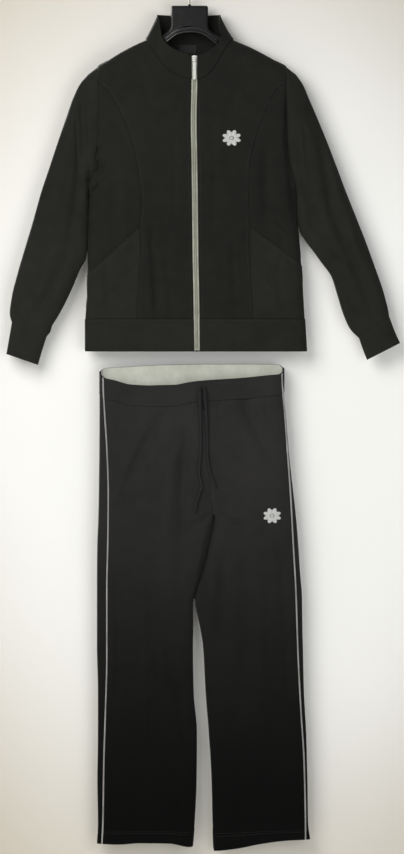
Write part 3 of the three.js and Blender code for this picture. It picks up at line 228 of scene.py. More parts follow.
# The camera looks straight at the wall from 9 m, square to it, with the hook's top outside the
# frame, as in the photo. Its long side is the picture's height.
CAMERA_PLACE = (0.0252, -9.0, -0.9597)
CAMERA_LENS = 180.75
camera_data = bpy.data.cameras.new("camera")
camera_data.sensor_fit = "AUTO"
camera_data.sensor_width = 36
camera_data.lens = CAMERA_LENS
camera = bpy.data.objects.new("camera", camera_data)
camera.location = CAMERA_PLACE
camera.rotation_euler = (math.pi / 2, 0, 0)
bpy.context.scene.collection.objects.link(camera)
bpy.context.scene.camera = camera


# The drawcord ends: two round braided cords of black polyester that come out of the waistband's
# front and hang limp down the trousers to bare, heat-sealed tips. Lengths are in millimetres here
# and in every table below; MM turns them into metres.
MM = 0.001
CORD_RADIUS = 2.5
BRAID_RELIEF = 0.16
CORD_ROUTES = {
    "left": [
        (21.0, -17.2, -878), (21.0, -22.3, -878.8), (21.0, -26.3, -883), (21.0, -25.15, -905),
        (22.5, -22.35, -945), (23.1, -21.75, -985), (22.0, -21.75, -1020), (19.5, -21.75, -1045),
        (20.5, -21.75, -1064), (25.0, -21.75, -1082), (20.0, -21.75, -1098),
        (14.5, -21.95, -1115), (10.5, -22.15, -1138),
    ],
    "right": [
        (30.5, -17.2, -878), (30.5, -22.3, -878.8), (30.5, -26.3, -883), (32.0, -25.15, -905),
        (35.0, -22.35, -945), (36.3, -21.75, -985), (37.0, -21.75, -1020), (41.0, -21.75, -1050),
        (47.5, -21.75, -1068), (54.0, -21.95, -1086),
    ],
}


def smooth_path(points, pitch):
    """Points a pitch apart along a smooth curve through the given ones (centripetal)."""
    points = np.array(points, float)
    before = 2 * points[0] - points[1]
    after = 2 * points[-1] - points[-2]
    held = np.vstack([before, points, after])
    fine = []
    for p0, p1, p2, p3 in zip(held, held[1:], held[2:], held[3:]):
        d1, d2, d3 = (max(np.linalg.norm(b - a) ** 0.5, 1e-4) for a, b in ((p0, p1), (p1, p2), (p2, p3)))
        t1 = ((p1 - p0) / d1 - (p2 - p0) / (d1 + d2) + (p2 - p1) / d2) * d2
        t2 = ((p2 - p1) / d2 - (p3 - p1) / (d2 + d3) + (p3 - p2) / d3) * d2
        s = np.linspace(0, 1, 24, endpoint=False)[:, None]
        fine.append(
            p1 * (2 * s**3 - 3 * s**2 + 1) + t1 * (s**3 - 2 * s**2 + s)
            + p2 * (3 * s**2 - 2 * s**3) + t2 * (s**3 - s**2)
        )
    fine = np.vstack([*fine, points[-1:]])
    gone = np.concatenate([[0], np.cumsum(np.linalg.norm(np.diff(fine, axis=0), axis=1))])
    at = np.linspace(0, gone[-1], max(int(round(gone[-1] / pitch)), 2) + 1)
    return np.stack([np.interp(at, gone, fine[:, k]) for k in range(3)], axis=1)


def mesh_piece(name, points, faces, finish):
    """A smooth-shaded mesh object from points in millimetres."""
    mesh = bpy.data.meshes.new(name)
    mesh.from_pydata((np.asarray(points) * MM).tolist(), [], faces)
    mesh.shade_smooth()
    mesh.materials.append(finish)
    piece = bpy.data.objects.new(name, mesh)
    bpy.context.scene.collection.objects.link(piece)
    return piece


def round_rod(name, path, radius_at, sides, finish):
    """A round rod along a path. radius_at(distance, angle) gives its surface, ends closed."""
    ahead = np.gradient(path, axis=0)
    ahead /= np.linalg.norm(ahead, axis=1)[:, None]
    gone = np.concatenate([[0], np.cumsum(np.linalg.norm(np.diff(path, axis=0), axis=1))])
    angles = np.linspace(0, 2 * math.pi, sides, endpoint=False)
    side = np.cross(ahead[0], (0.3, 1, 0.2))
    rings = []
    for place, way, distance in zip(path, ahead, gone):
        side = side - way * side.dot(way)
        side /= np.linalg.norm(side)
        other = np.cross(way, side)
        radius = radius_at(distance, angles)[:, None]
        rings.append(place + radius * (np.cos(angles)[:, None] * side + np.sin(angles)[:, None] * other))
    points = np.vstack(rings)
    faces = []
    for r in range(len(path) - 1):
        for c in range(sides):
            d = (c + 1) % sides
            faces.append((r * sides + c, r * sides + d, (r + 1) * sides + d, (r + 1) * sides + c))
    last = (len(path) - 1) * sides
    faces.append(tuple(range(sides - 1, -1, -1)))
    faces.append(tuple(range(last, last + sides)))
    return mesh_piece(name, points, faces, finish)


def cord_finish():
    material, shader, place = start_finish(
        "braided_cord", {"Roughness": 0.7, "Sheen Weight": 0.06, "Specular IOR Level": 0.2}
    )
    fibres = place.noise(1600, 3.0)
    colour = fibres.mix((0.006, 0.006, 0.007), (0.018, 0.018, 0.019))
    paint(shader, place, {"Base Color": colour, "Normal": fibres.bump(0.0004, 0.5)})
    return material


def join_suit(piece, node=None):
    """A piece that rides with the suit, in place of the node that it stands for."""
    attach(piece, "suit")
    if node:
        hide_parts(node)


drawcord_black = cord_finish()
for hand, route in CORD_ROUTES.items():
    path = smooth_path(route, 1.1)
    reach = np.linalg.norm(np.diff(path, axis=0), axis=1).sum()

    def braid_surface(distance, angles, reach=reach):
        strands = np.sin(4 * angles + distance * 1.15) * np.sin(4 * angles - distance * 1.15)
        tip = min((reach - distance) / 1.6, 1)
        sealed = 0.55 + 0.45 * max(tip, 0) ** 0.5
        return (CORD_RADIUS - 0.12 + BRAID_RELIEF * strands) * sealed

    braid = round_rod(f"drawcord_braid_{hand}", path, braid_surface, 16, drawcord_black)
    join_suit(braid, f"drawcord_{hand}")


# The hanger: black moulded polystyrene with a block at the neck, an arch under it with two glossy
# moulded ribs, and an arm in each shoulder. The hook is a bent steel wire, moulded into the block.
def plastic_finish(name, gloss):
    material, shader, place = start_finish(
        name, {"Coat Weight": gloss, "Coat Roughness": 0.12, "Specular IOR Level": 0.1 + gloss}
    )
    scuffs = place.noise(60, 6.0, 0.7).ramp(0.5, 0.75)
    flow = place.noise(14, 2.0)
    paint(shader, place, {
        "Base Color": flow.mix((0.007, 0.007, 0.0075), (0.012, 0.0115, 0.0115)),
        "Roughness": 0.3 + scuffs * 0.25,
        "Normal": place.noise(240, 3.0).bump(0.0002, 0.25),
    })
    return material


def wire_finish():
    material, shader, place = start_finish("hook_wire", {"Metallic": 1.0})
    drawn = place.node("Mapping", {}, {"Vector": place, "Scale": (9, 9, 1)}).noise(220, 3.0)
    paint(shader, place, {
        "Base Color": drawn.mix((0.2, 0.19, 0.17), (0.42, 0.41, 0.39)),
        "Roughness": 0.22 + drawn * 0.25,
        "Normal": drawn.bump(0.00015, 0.3),
    })
    return material


hanger_black = plastic_finish("hanger_plastic", 0.08)
rib_black = plastic_finish("hanger_rib_plastic", 0.7)
hook_steel = wire_finish()
WIRE_RADIUS = 1.8
HOOK_RADIUS = 22.8
BLOCK_X = -1
HANGER_TOP = -75.6
HOOK_FOOT = [(BLOCK_X, HANGER_TOP - 6), (BLOCK_X, -66), (BLOCK_X + 0.5, -57), (BLOCK_X + 4, -48.5)]
hook_path = [(x, 0, z) for x, z in HOOK_FOOT]
for degrees in np.arange(-50, 196, 17.5):
    angle = math.radians(degrees)
    height = WIRE_RADIUS - HOOK_RADIUS + HOOK_RADIUS * math.sin(angle)
    hook_path.append((HOOK_RADIUS * math.cos(angle), 0, height))


def wire_surface(distance, angles):
    return np.full(len(angles), WIRE_RADIUS * min(1, 0.6 + distance / 4))


hook = round_rod("hook_wire", smooth_path(hook_path, 1.6)[::-1], wire_surface, 14, hook_steel)
join_suit(hook, "hanger_hook")


def finish_node(node, finish):
    """Gives one of the part's own solids its finish, with the points of its faces joined."""
    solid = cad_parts[node]
    solid.data.materials.clear()
    solid.data.materials.append(finish)
    weld = solid.modifiers.new("weld", "WELD")
    weld.merge_threshold = 0.00002
    return solid


finish_node("hanger_body", hanger_black)
ARCH = [(-52, -146), (-40, -136), (-26, -127), (-4, -123), (16, -124), (30, -129), (44, -139), (58, -151)]
ARCH_FRONT = -7
ARCH_RIBS = [(0.4, 1.3), (-7.6, 1.3)]
LIP_DROP = 3.6
LIP_HALF_HEIGHT = 5.0
LIP_HALF_DEPTH = 6.4
BOSS_RADIUS = 4.6
BOSS_TAPER = 0.5
for number, (above, radius) in enumerate(ARCH_RIBS):
    rib_path = smooth_path([(x, ARCH_FRONT + 0.5, z + above) for x, z in ARCH], 2)

    def rib_surface(distance, angles, radius=radius):
        return np.full(len(angles), radius * min(1, 0.3 + distance / 5))

    rib = round_rod(f"hanger_rib_{number + 1}", rib_path, rib_surface, 10, rib_black)
    join_suit(rib)
lip_path = smooth_path([(x, 0, z - LIP_DROP) for x, z in ARCH], 2)


def lip_surface(distance, angles):
    return ((np.cos(angles) / LIP_HALF_HEIGHT) ** 4 + (np.sin(angles) / LIP_HALF_DEPTH) ** 4) ** -0.25


lip = round_rod("hanger_arch_lip", lip_path, lip_surface, 20, hanger_black)
join_suit(lip)
socket_path = smooth_path([(BLOCK_X, 0, HANGER_TOP - 1), (BLOCK_X, 0, HANGER_TOP + 3)], 0.5)


def boss_surface(distance, angles):
    return np.full(len(angles), BOSS_RADIUS - BOSS_TAPER * distance)


boss = round_rod("hanger_hook_boss", socket_path, boss_surface, 20, hanger_black)
join_suit(boss)


# The jacket's back: one piece of smooth black double-face jersey, sewn to the fronts at the
# shoulders and sides, to the sleeves at the armholes and to the collar at the neck. It hangs
# almost flat from the hanger's arms and rolls over at its sides and shoulders.
CLOTH = 1.5
FACE_GAP = 0.15
SEAM_GAP = 0.3
BODY_ROLL = 62
SHOULDER_ROLL = 46
ARMHOLE_ROLL = 70
ARMHOLE_DEPTH = 21
CREASE_FULL_DEPTH = 14
CREASE_MOST = 11
CELL = 4.5
EDGE = 0.7
ZIP_LINE = {
    "z": [-801, -690, -600, -480, -400, -320, -231, -180],
    "x": [14.7, 13.4, 11.6, 10.4, 9.2, 7.8, 9.3, 9.3],
}
BODY = {
    "z": [-801, -733, -690, -630, -560, -462, -380, -300, -204, -110],
    "left": [-220.5, -220.5, -217.5, -216.3, -216.0, -214.2, -214.2, -214.2, -214.2, -214.2],
    "right": [245.7, 241.5, 239.0, 235.5, 229.0, 224.7, 224.7, 224.7, 224.7, 224.7],
    "depth": [18, 19, 20, 22, 25, 28, 30, 30, 28, 27],
}
ARMHOLE = {
    "z": [-462, -450, -432, -405, -370, -325, -275, -232, -213, -204],
    "left": [-214.2, -211.6, -206.5, -200.5, -195.5, -193.4, -193.2, -193.4, -194.2, -194.6],
    "right": [224.7, 221.8, 216.6, 210.4, 205.5, 203.2, 202.2, 202.4, 202.6, 202.8],
}
SHOULDER = {
    "z": [-204, -189.5, -174, -160.5, -152, -147],
    "left": [-194.6, -172, -147, -122, -104, -92],
    "right": [202.8, 178, 150, 123, 102, 90],
}
INWARD = {"left": 1, "right": -1}
LEAST_CREASE_WIDTH = 5
MOST_RIDGE = 3.2


def strengthened(narrower, deeper, most, creases):
    """The creases as placed, made narrower and deeper by a factor each, in whole mm and tenths."""
    changed = []
    for width, depth, *line in creases:
        width = round(max(LEAST_CREASE_WIDTH, width * narrower))
        depth = round(max(-MOST_RIDGE, min(most, depth * deeper)), 1)
        changed.append((width, depth, *line))
    return changed


# Creases as placed, each its half width, its depth (negative for a ridge) and its line of (x, z)
BACK_CREASES = strengthened(narrower=0.95, deeper=1.4, most=7, creases=[
    (16, 5, (-218, -250), (-222, -400), (-250, -580)),
    (16, 5, (230, -250), (235, -400), (290, -560)),
    (22, 4, (-120, -420), (-110, -760)),
    (26, 3, (20, -380), (8, -740)),
    (22, 4, (130, -400), (138, -760)),
    (13, -2, (-92, -470), (-70, -700)),
    (12, 2.2, (-178, -300), (-130, -360), (-60, -392)),
    (12, 2, (190, -310), (130, -372), (74, -398)),
    (10, 1.6, (-190, -480), (-120, -505)),
    (10, 1.8, (204, -470), (150, -512), (96, -520)),
    (14, 1.6, (60, -560), (70, -730)),
    (12, -1.4, (-30, -240), (-24, -420)),
    (10, 1.6, (-300, -440), (-268, -492), (-240, -520)),
    (10, 1.6, (318, -450), (286, -500), (256, -522)),
    (10, 1.8, (-350, -640), (-306, -660)),
    (10, 1.8, (392, -650), (346, -672)),
])


def table_value(table, key, name, at):
    """A smooth value between the rows of a table, with no overshoot."""
    keys, values = np.asarray(table[key], float), np.asarray(table[name], float)
    if keys[0] > keys[-1]:
        keys, values = keys[::-1], values[::-1]
    at = np.clip(at, keys[0], keys[-1])
    slope = np.diff(values) / np.diff(keys)
    before, after = slope[:-1], slope[1:]
    level = before * after <= 0
    inner = np.where(level, 0, 2 * before * after / np.where(level, 1, before + after))
    tangent = np.concatenate([slope[:1], inner, slope[-1:]])
    i = np.clip(np.searchsorted(keys, at) - 1, 0, len(slope) - 1)
    span = keys[i + 1] - keys[i]
    t = (at - keys[i]) / span
    rest = 1 - t
    return (
        values[i] * (1 + 2 * t) * rest**2 + span * tangent[i] * t * rest**2
        + values[i + 1] * t**2 * (3 - 2 * t) - span * tangent[i + 1] * t**2 * rest
    )


def rounded(share):
    """How far a rounded edge has come out at a share of its width."""
    return (1 - (1 - np.clip(share, 0, 1)) ** 2.4) ** (1 / 2.4)


def shoulder_height(x, hand):
    neck_x, before_x = SHOULDER[hand][-1], SHOULDER[hand][-2]
    rise = (SHOULDER["z"][-1] - SHOULDER["z"][-2]) / abs(neck_x - before_x)
    beyond = INWARD[hand] * (x - neck_x)
    return table_value(SHOULDER, hand, "z", x) + np.maximum(beyond, 0) * rise


def meet_at_shoulder(x, z, hand, column):
    """Moves the edge of a panel's places onto the shoulder line, where front and back are joined."""
    high = z[:, column] > SHOULDER["z"][0] + 2
    z[high, column] = shoulder_height(x[high, column], hand)


def body_depth(x, z):
    """Half depth of the jacket at a place seen from the front, without creases."""
    depth = np.zeros(np.broadcast(x, z).shape)
    on_left = x < table_value(ZIP_LINE, "z", "x", z)
    full = table_value(BODY, "z", "depth", z)
    at_edge = ARMHOLE_DEPTH * rounded((z - ARMHOLE["z"][0]) / ARMHOLE_ROLL)
    for hand, chosen in (("left", on_left), ("right", ~on_left)):
        sewn = table_value(ARMHOLE, "z", hand, z)
        edge = np.where(z < ARMHOLE["z"][0], table_value(BODY, "z", hand, z), sewn)
        side = np.where(z > SHOULDER["z"][0], 1, rounded(INWARD[hand] * (x - edge) / BODY_ROLL))
        shoulder = rounded((shoulder_height(x, hand) - z) / SHOULDER_ROLL)
        depth = np.where(chosen, shoulder * (at_edge + (full - at_edge) * side), depth)
    return depth


def crease_depth(x, z, creases):
    """Depth of all creases at a place. Each fades out towards its two ends."""
    total = np.zeros(np.broadcast(x, z).shape)
    for width, depth, *path in creases:
        lengths = [math.dist(a, b) for a, b in zip(path, path[1:])]
        nearest = np.full(total.shape, np.inf)
        along = np.zeros(total.shape)
        gone = 0
        for (ax, az), (bx, bz), length in zip(path, path[1:], lengths):
            t = np.clip(((x - ax) * (bx - ax) + (z - az) * (bz - az)) / length**2, 0, 1)
            away = np.hypot(x - ax - t * (bx - ax), z - az - t * (bz - az))
            along = np.where(away < nearest, (gone + t * length) / sum(lengths), along)
            nearest = np.minimum(away, nearest)
            gone += length
        ends = np.clip(np.minimum(along, 1 - along) / 0.22, 0, 1)
        share = np.clip(nearest / width, 0, 1)
        total += depth * (1 - share**2) ** 2 * (0.25 + 0.75 * ends * ends * (3 - 2 * ends))
    return CREASE_MOST * np.tanh(total / CREASE_MOST)


def cloth_drift(x, z):
    """The slight unevenness of soft jersey between its creases."""
    broad = 0.5 * np.sin(x / 37 + z / 61) + 0.45 * np.sin(x / 23 - z / 47 + 1.3)
    return broad + 0.3 * np.sin(z / 19 + x / 71) + 0.2 * np.sin(x / 11 + z / 29 + 0.6)


def cloth_face(depth_at, facing, creases):
    """A face of a garment: its place at (x, z), moved out of the cloth by a distance."""

    def place(x, z, out=0.0):
        probe = 0.05
        depth = depth_at(x, z)
        across = (depth_at(x + probe, z) - depth_at(x - probe, z)) / (2 * probe)
        upward = (depth_at(x, z + probe) - depth_at(x, z - probe)) / (2 * probe)
        way = np.stack([-across, np.full(across.shape, facing), -upward], axis=-1)
        way /= np.linalg.norm(way, axis=-1)[..., None]
        relief = crease_depth(x, z, creases) + cloth_drift(x, z)
        y = facing * (FACE_GAP + depth - relief * np.minimum(depth / CREASE_FULL_DEPTH, 1))
        return np.stack([x, y, z], axis=-1) + np.asarray(out)[..., None] * way

    return place


def fine_rows(ends):
    """More rows between a panel's rows of (from x, from z, to x, to z), a cell apart."""
    ends = np.array(ends, float)
    numbers = [0.0]
    for r, (low, high) in enumerate(zip(ends, ends[1:])):
        gap = max(math.dist(low[:2], high[:2]), math.dist(low[2:], high[2:]))
        steps = max(int(math.ceil(gap / CELL)), 1)
        numbers += [r + k / steps for k in range(1, steps + 1)]
    first, last = numbers[1] * EDGE / CELL, numbers[-1] - (numbers[-1] - numbers[-2]) * EDGE / CELL
    numbers = np.array(sorted({*numbers, first, last}))
    table = {"row": range(len(ends)), **{k: ends[:, k] for k in range(4)}}
    return np.stack([table_value(table, "row", k, numbers) for k in range(4)], axis=1)


def shares_across(width, power, both=False):
    """Shares across a panel, with a close one inside each edge and closer ones at a roll."""
    steps = max(int(width / CELL), 4)
    t = np.linspace(0, 1, steps + 1)
    if both:
        shares = np.where(t <= 0.5, (2 * t) ** power / 2, 1 - (2 - 2 * t) ** power / 2)
    else:
        shares = 1 - (1 - t) ** power
    edges = [EDGE / width, 3 * EDGE / width, 1 - EDGE / width]
    return np.unique(np.round(np.concatenate([shares, edges]), 6))


def edge_sink(x, z, edges):
    """How far cloth sinks towards the edges that are sewn: from, to, first and last."""
    across = np.hypot(np.diff(x, axis=1), np.diff(z, axis=1))
    along = np.hypot(np.diff(x, axis=0), np.diff(z, axis=0))
    zero_column, zero_row = np.zeros((x.shape[0], 1)), np.zeros((1, x.shape[1]))
    from_start = np.hstack([zero_column, np.cumsum(across, axis=1)])
    from_first = np.vstack([zero_row, np.cumsum(along, axis=0)])
    distances = {
        "from": from_start,
        "to": from_start[:, -1:] - from_start,
        "first": from_first,
        "last": from_first[-1:] - from_first,
    }
    sink = np.zeros(x.shape)
    for edge in edges:
        sink = np.maximum(sink, 0.75 * np.exp(-((distances[edge] / 2.4) ** 2)))
    return sink


def wall_points(face, x, z, sewn_edges, wall, proud=0.0):
    """The outer and the inner points of a cloth wall over a grid of places."""
    out = proud - edge_sink(x, z, sewn_edges)
    return face(x, z, out), face(x, z, proud - wall)


def panel_grid(rows, shares):
    """The grid of places between the two ends of each row."""
    from_x, from_z, to_x, to_z = (rows[:, k : k + 1] for k in range(4))
    return from_x + (to_x - from_x) * shares, from_z + (to_z - from_z) * shares


def cloth_wall(name, outer, inner, finish, ring=False):
    """A closed thin wall from its outer and inner points; a ring closes on itself."""
    rows, columns = outer.shape[:2]
    points = np.concatenate([outer.reshape(-1, 3), inner.reshape(-1, 3)])
    near = np.arange(rows * columns).reshape(rows, columns)
    if ring:
        near = np.hstack([near, near[:, :1]])
    deep = near + rows * columns

    def quads(grid):
        corners = [grid[:-1, :-1], grid[:-1, 1:], grid[1:, 1:], grid[1:, :-1]]
        return np.stack(corners, axis=-1).reshape(-1, 4)

    faces = [quads(near), quads(deep)[:, ::-1]]
    faces.append(quads(np.stack([deep[0], near[0]])))
    faces.append(quads(np.stack([near[-1], deep[-1]])))
    if not ring:
        faces.append(quads(np.stack([deep[:, 0], near[:, 0]], axis=1)))
        faces.append(quads(np.stack([near[:, -1], deep[:, -1]], axis=1)))
    faces = np.concatenate(faces)
    a, b, c, d = (points[faces[:, k]] for k in range(4))
    volume = (a * np.cross(b, c)).sum() + (a * np.cross(c, d)).sum()
    if volume < 0:
        faces = faces[:, ::-1]
    return mesh_piece(name, points, faces.tolist(), finish)


def sewn_cloth(
    node, outer, inner, finish, slot, cut, hangs_from=("hanger_body",), ring=False, sewn_on=()
):
    """One sewn piece in place of its node. Its cut, width, length and area in m, is not used."""
    piece = cloth_wall(f"cloth_{node}", outer, inner, finish, ring)
    join_suit(piece, node)
    return piece


def knit_finish(name, dark, light, lean=0.0, sheen=0.04, stitch=1.25, painted_shade_heights=None):
    """Fine jersey: upright wales of small V stitches, lint and a faint nap. lean tilts the grain.

    Given heights in metres, the colour goes between them from a painted deep black shade below
    to the cloth's own tone above, standing in for the light falling off lower down.
    """
    material, shader, place = start_finish(
        name,
        {"Sheen Weight": sheen, "Sheen Roughness": 0.45, "Specular IOR Level": 0.1,
         "Sheen Tint": (0.92, 0.93, 0.88, 1)},
    )
    grain = place.node("Mapping", {}, {"Vector": place, "Rotation": (0, math.radians(lean), 0)})
    turn = 2 * math.pi / (stitch * MM)
    across = (grain.part("X") + grain.part("Y") * 0.6) * (turn / 2)
    wales = across.sine().size()
    loops = (grain.part("Z") * (turn * 1.3) + wales * 2.4).sine()
    worn = place.noise(4.5, 3.0)
    lint = place.noise(420, 2.0).ramp(0.64, 0.8)
    mottle = place.noise(38, 4.0, 0.6)
    height = wales * 0.7 + loops * 0.3
    yarn = (wales * 0.25 + loops * 0.1) + worn * 0.5 + mottle * 0.35
    cloth = yarn.ramp(0.32, 0.82).mix(dark, light)
    # Painted shade: below the given heights the colour darkens towards deep black, for the light that falls
    # off lower down.
    if painted_shade_heights:
        deep = tuple(part * 0.08 for part in dark)
        lit_share = (place.part("Z") + (worn - 0.5) * 0.12).ramp(*painted_shade_heights)
        cloth = lit_share.mix(deep, cloth)
    fluff = tuple(min(1.0, 1.6 * part + 0.012) for part in light)
    paint(shader, place, {
        "Base Color": (lint * 0.22).mix(cloth, fluff),
        "Roughness": 0.78 + worn * 0.18,
        "Normal": height.bump(0.00022, 0.55),
    })
    return material


JACKET_BLACK = ((0.0073, 0.0074, 0.0065), (0.0161, 0.0165, 0.014))
jacket_knit = knit_finish("jacket_knit", *JACKET_BLACK)
jacket_back_face = cloth_face(body_depth, 1, BACK_CREASES)
HEM_SEAM = -733
BACK_NECK_DIP = 5
NECK_LEFT = SHOULDER["left"][-1]
NECK_RIGHT = SHOULDER["right"][-1]


def side_x(z, hand):
    return float(table_value(BODY, "z", hand, z))


def back_neck_dip(share):
    return 4 * share * (1 - share) * BACK_NECK_DIP


back_ends = [
    (side_x(z, "left"), z, side_x(z, "right"), z)
    for z in (HEM_SEAM + 0.15, -690, -640, -585, -530, -490)
]
back_ends += [(l + 0.15, z, r - 0.15, z) for z, l, r in zip(ARMHOLE["z"], ARMHOLE["left"], ARMHOLE["right"])]
back_ends += [
    (l, z, r, z)
    for z, l, r in list(zip(SHOULDER["z"], SHOULDER["left"], SHOULDER["right"]))[1:]
]
back_rows = fine_rows(back_ends)
back_shares = shares_across(440, 1.8, both=True)
x, z = panel_grid(back_rows, back_shares)
towards_neck = np.clip((z[:, :1] + 174) / 27, 0, 1) ** 2
z = z - towards_neck * (back_neck_dip(back_shares) + 0.5)
meet_at_shoulder(x, z, "left", 0)
meet_at_shoulder(x, z, "right", -1)
outer, inner = wall_points(jacket_back_face, x, z, ("from", "to", "first", "last"), CLOTH)
sewn_cloth("jacket_back", outer, inner, jacket_knit, "black_knit", (0.47, 0.6, 0.25))


# The jacket's fronts: on each side a centre front from the zip to the princess seam, a side front
# from there to the side seam, and below the slanting pocket opening a pocket front that overlaps
# it. All are the same black jersey, the seams pressed open and topstitched.
PRINCESS = {
    "z": [-733, -690, -630, -585, -542, -490, -440, -390, -345, -300, -260, -232],
    "left": [-112, -109, -105, -103.5, -105, -101.5, -106, -114.5, -127, -145, -167, -193.4],
    "right": [133, 131, 127, 126, 126, 123, 123.5, 129, 140, 157, 177.5, 202.4],
}
NECKLINE = {
    "left": [(3, -231), (-14, -227.5), (-33, -219), (-52, -204), (-67, -186), (-80, -166), (-88.5, -151.5)],
    "right": [(15.6, -231), (32, -225), (46, -212), (58, -194), (68, -175), (79, -158), (86.5, -150)],
}
ZIP_HALF = 6.3
POCKET_TOP = -542
POCKET_SIDE = {"left": -641, "right": -622}
POCKET_TUCK = 12
POCKET_STEP = 2.3
SIDE_FRONT_HEIGHTS = (-542, -525, -507, -490, -465, -440, -415, -390, -345, -300, -260)
FRONT_CREASES = strengthened(narrower=0.92, deeper=1.45, most=8.5, creases=[
    (15, 7, (-224.5, -238), (-225.5, -378), (-233, -462), (-258, -606)),
    (17, 4, (-258, -606), (-292, -676), (-330, -735)),
    (14, -3, (-208, -270), (-207, -340), (-210, -400)),
    (22, 3, (-262, -330), (-290, -440), (-318, -560)),
    (12, 6, (-176, -412), (-199, -428), (-222, -450)),
    (10, 4, (-184, -447), (-203, -482)),
    (14, 6, (-80, -530), (-67, -733)),
    (16, 2, (-160, -430), (-158, -560)),
    (13, 6, (207, -262), (205, -362), (212, -440), (222, -530)),
    (17, 6, (254, -300), (268, -334), (300, -510), (362, -660), (384, -725)),
    (15, 3.5, (222, -350), (241, -466), (277, -545)),
    (16, 4.5, (160, -360), (160, -545)),
    (15, -3, (300, -420), (340, -540), (352, -600)),
    (13, 4, (290, -585), (330, -610)),
    (9, 2, (-190, -290), (-150, -330), (-118, -400)),
    (9, 2.2, (-205, -520), (-178, -600), (-170, -725)),
    (10, -1.6, (-140, -440), (-132, -600), (-138, -720)),
    (8, 1.6, (-38, -300), (-30, -420), (-34, -540)),
    (12, 1.5, (-52, -600), (-40, -725)),
    (9, 1.8, (40, -290), (52, -420), (48, -560)),
    (11, 1.8, (88, -560), (96, -730)),
    (9, 2.2, (196, -560), (186, -640), (192, -730)),
    (8, 1.5, (150, -470), (176, -520), (214, -560)),
    (7, 4.5, (-186, -366), (-200, -399)),
    (6, 4, (-176, -410), (-200, -432), (-226, -448)),
    (6, 3.5, (-188, -448), (-206, -470), (-222, -486)),
    (6, -2.5, (-184, -384), (-208, -420), (-226, -434)),
    (7, 3.5, (-238, -300), (-236, -420), (-246, -480)),
    (7, 3, (-196, -330), (-190, -400), (-196, -520)),
    (7, 3.2, (238, -330), (248, -430), (262, -500)),
    (8, 1.8, (-120, -186), (-96, -226), (-84, -290)),
    (8, 1.8, (118, -186), (98, -226), (90, -300)),
    (9, 2.4, (-286, -560), (-312, -640), (-330, -700)),
    (8, 2, (-350, -640), (-322, -690), (-296, -722)),
    (8, 1.8, (-358, -690), (-330, -728)),
    (8, -1.5, (-240, -300), (-262, -420), (-280, -520)),
    (8, 2.4, (330, -560), (366, -640), (398, -712)),
    (8, 2.2, (312, -640), (350, -668), (386, -672)),
    (8, 2, (326, -712), (362, -716), (400, -700)),
    (9, 2.2, (240, -500), (262, -546), (300, -566)),
])
jacket_front_face = cloth_face(body_depth, -1, FRONT_CREASES)
# A lighter copy of the jersey for the sleeves, cuffs, hem bands and pocket fronts, its colour painted lighter
# for the extra light these parts catch.
PAINTED_LIGHT_BLACK = ((0.0089, 0.0091, 0.0077), (0.0203, 0.0208, 0.0174))
painted_light_knit = knit_finish("painted_light_knit", *PAINTED_LIGHT_BLACK)
stitched_runs = []


def zip_x(z):
    return float(table_value(ZIP_LINE, "z", "x", z))


def princess_x(z, hand):
    return float(table_value(PRINCESS, "z", hand, z))


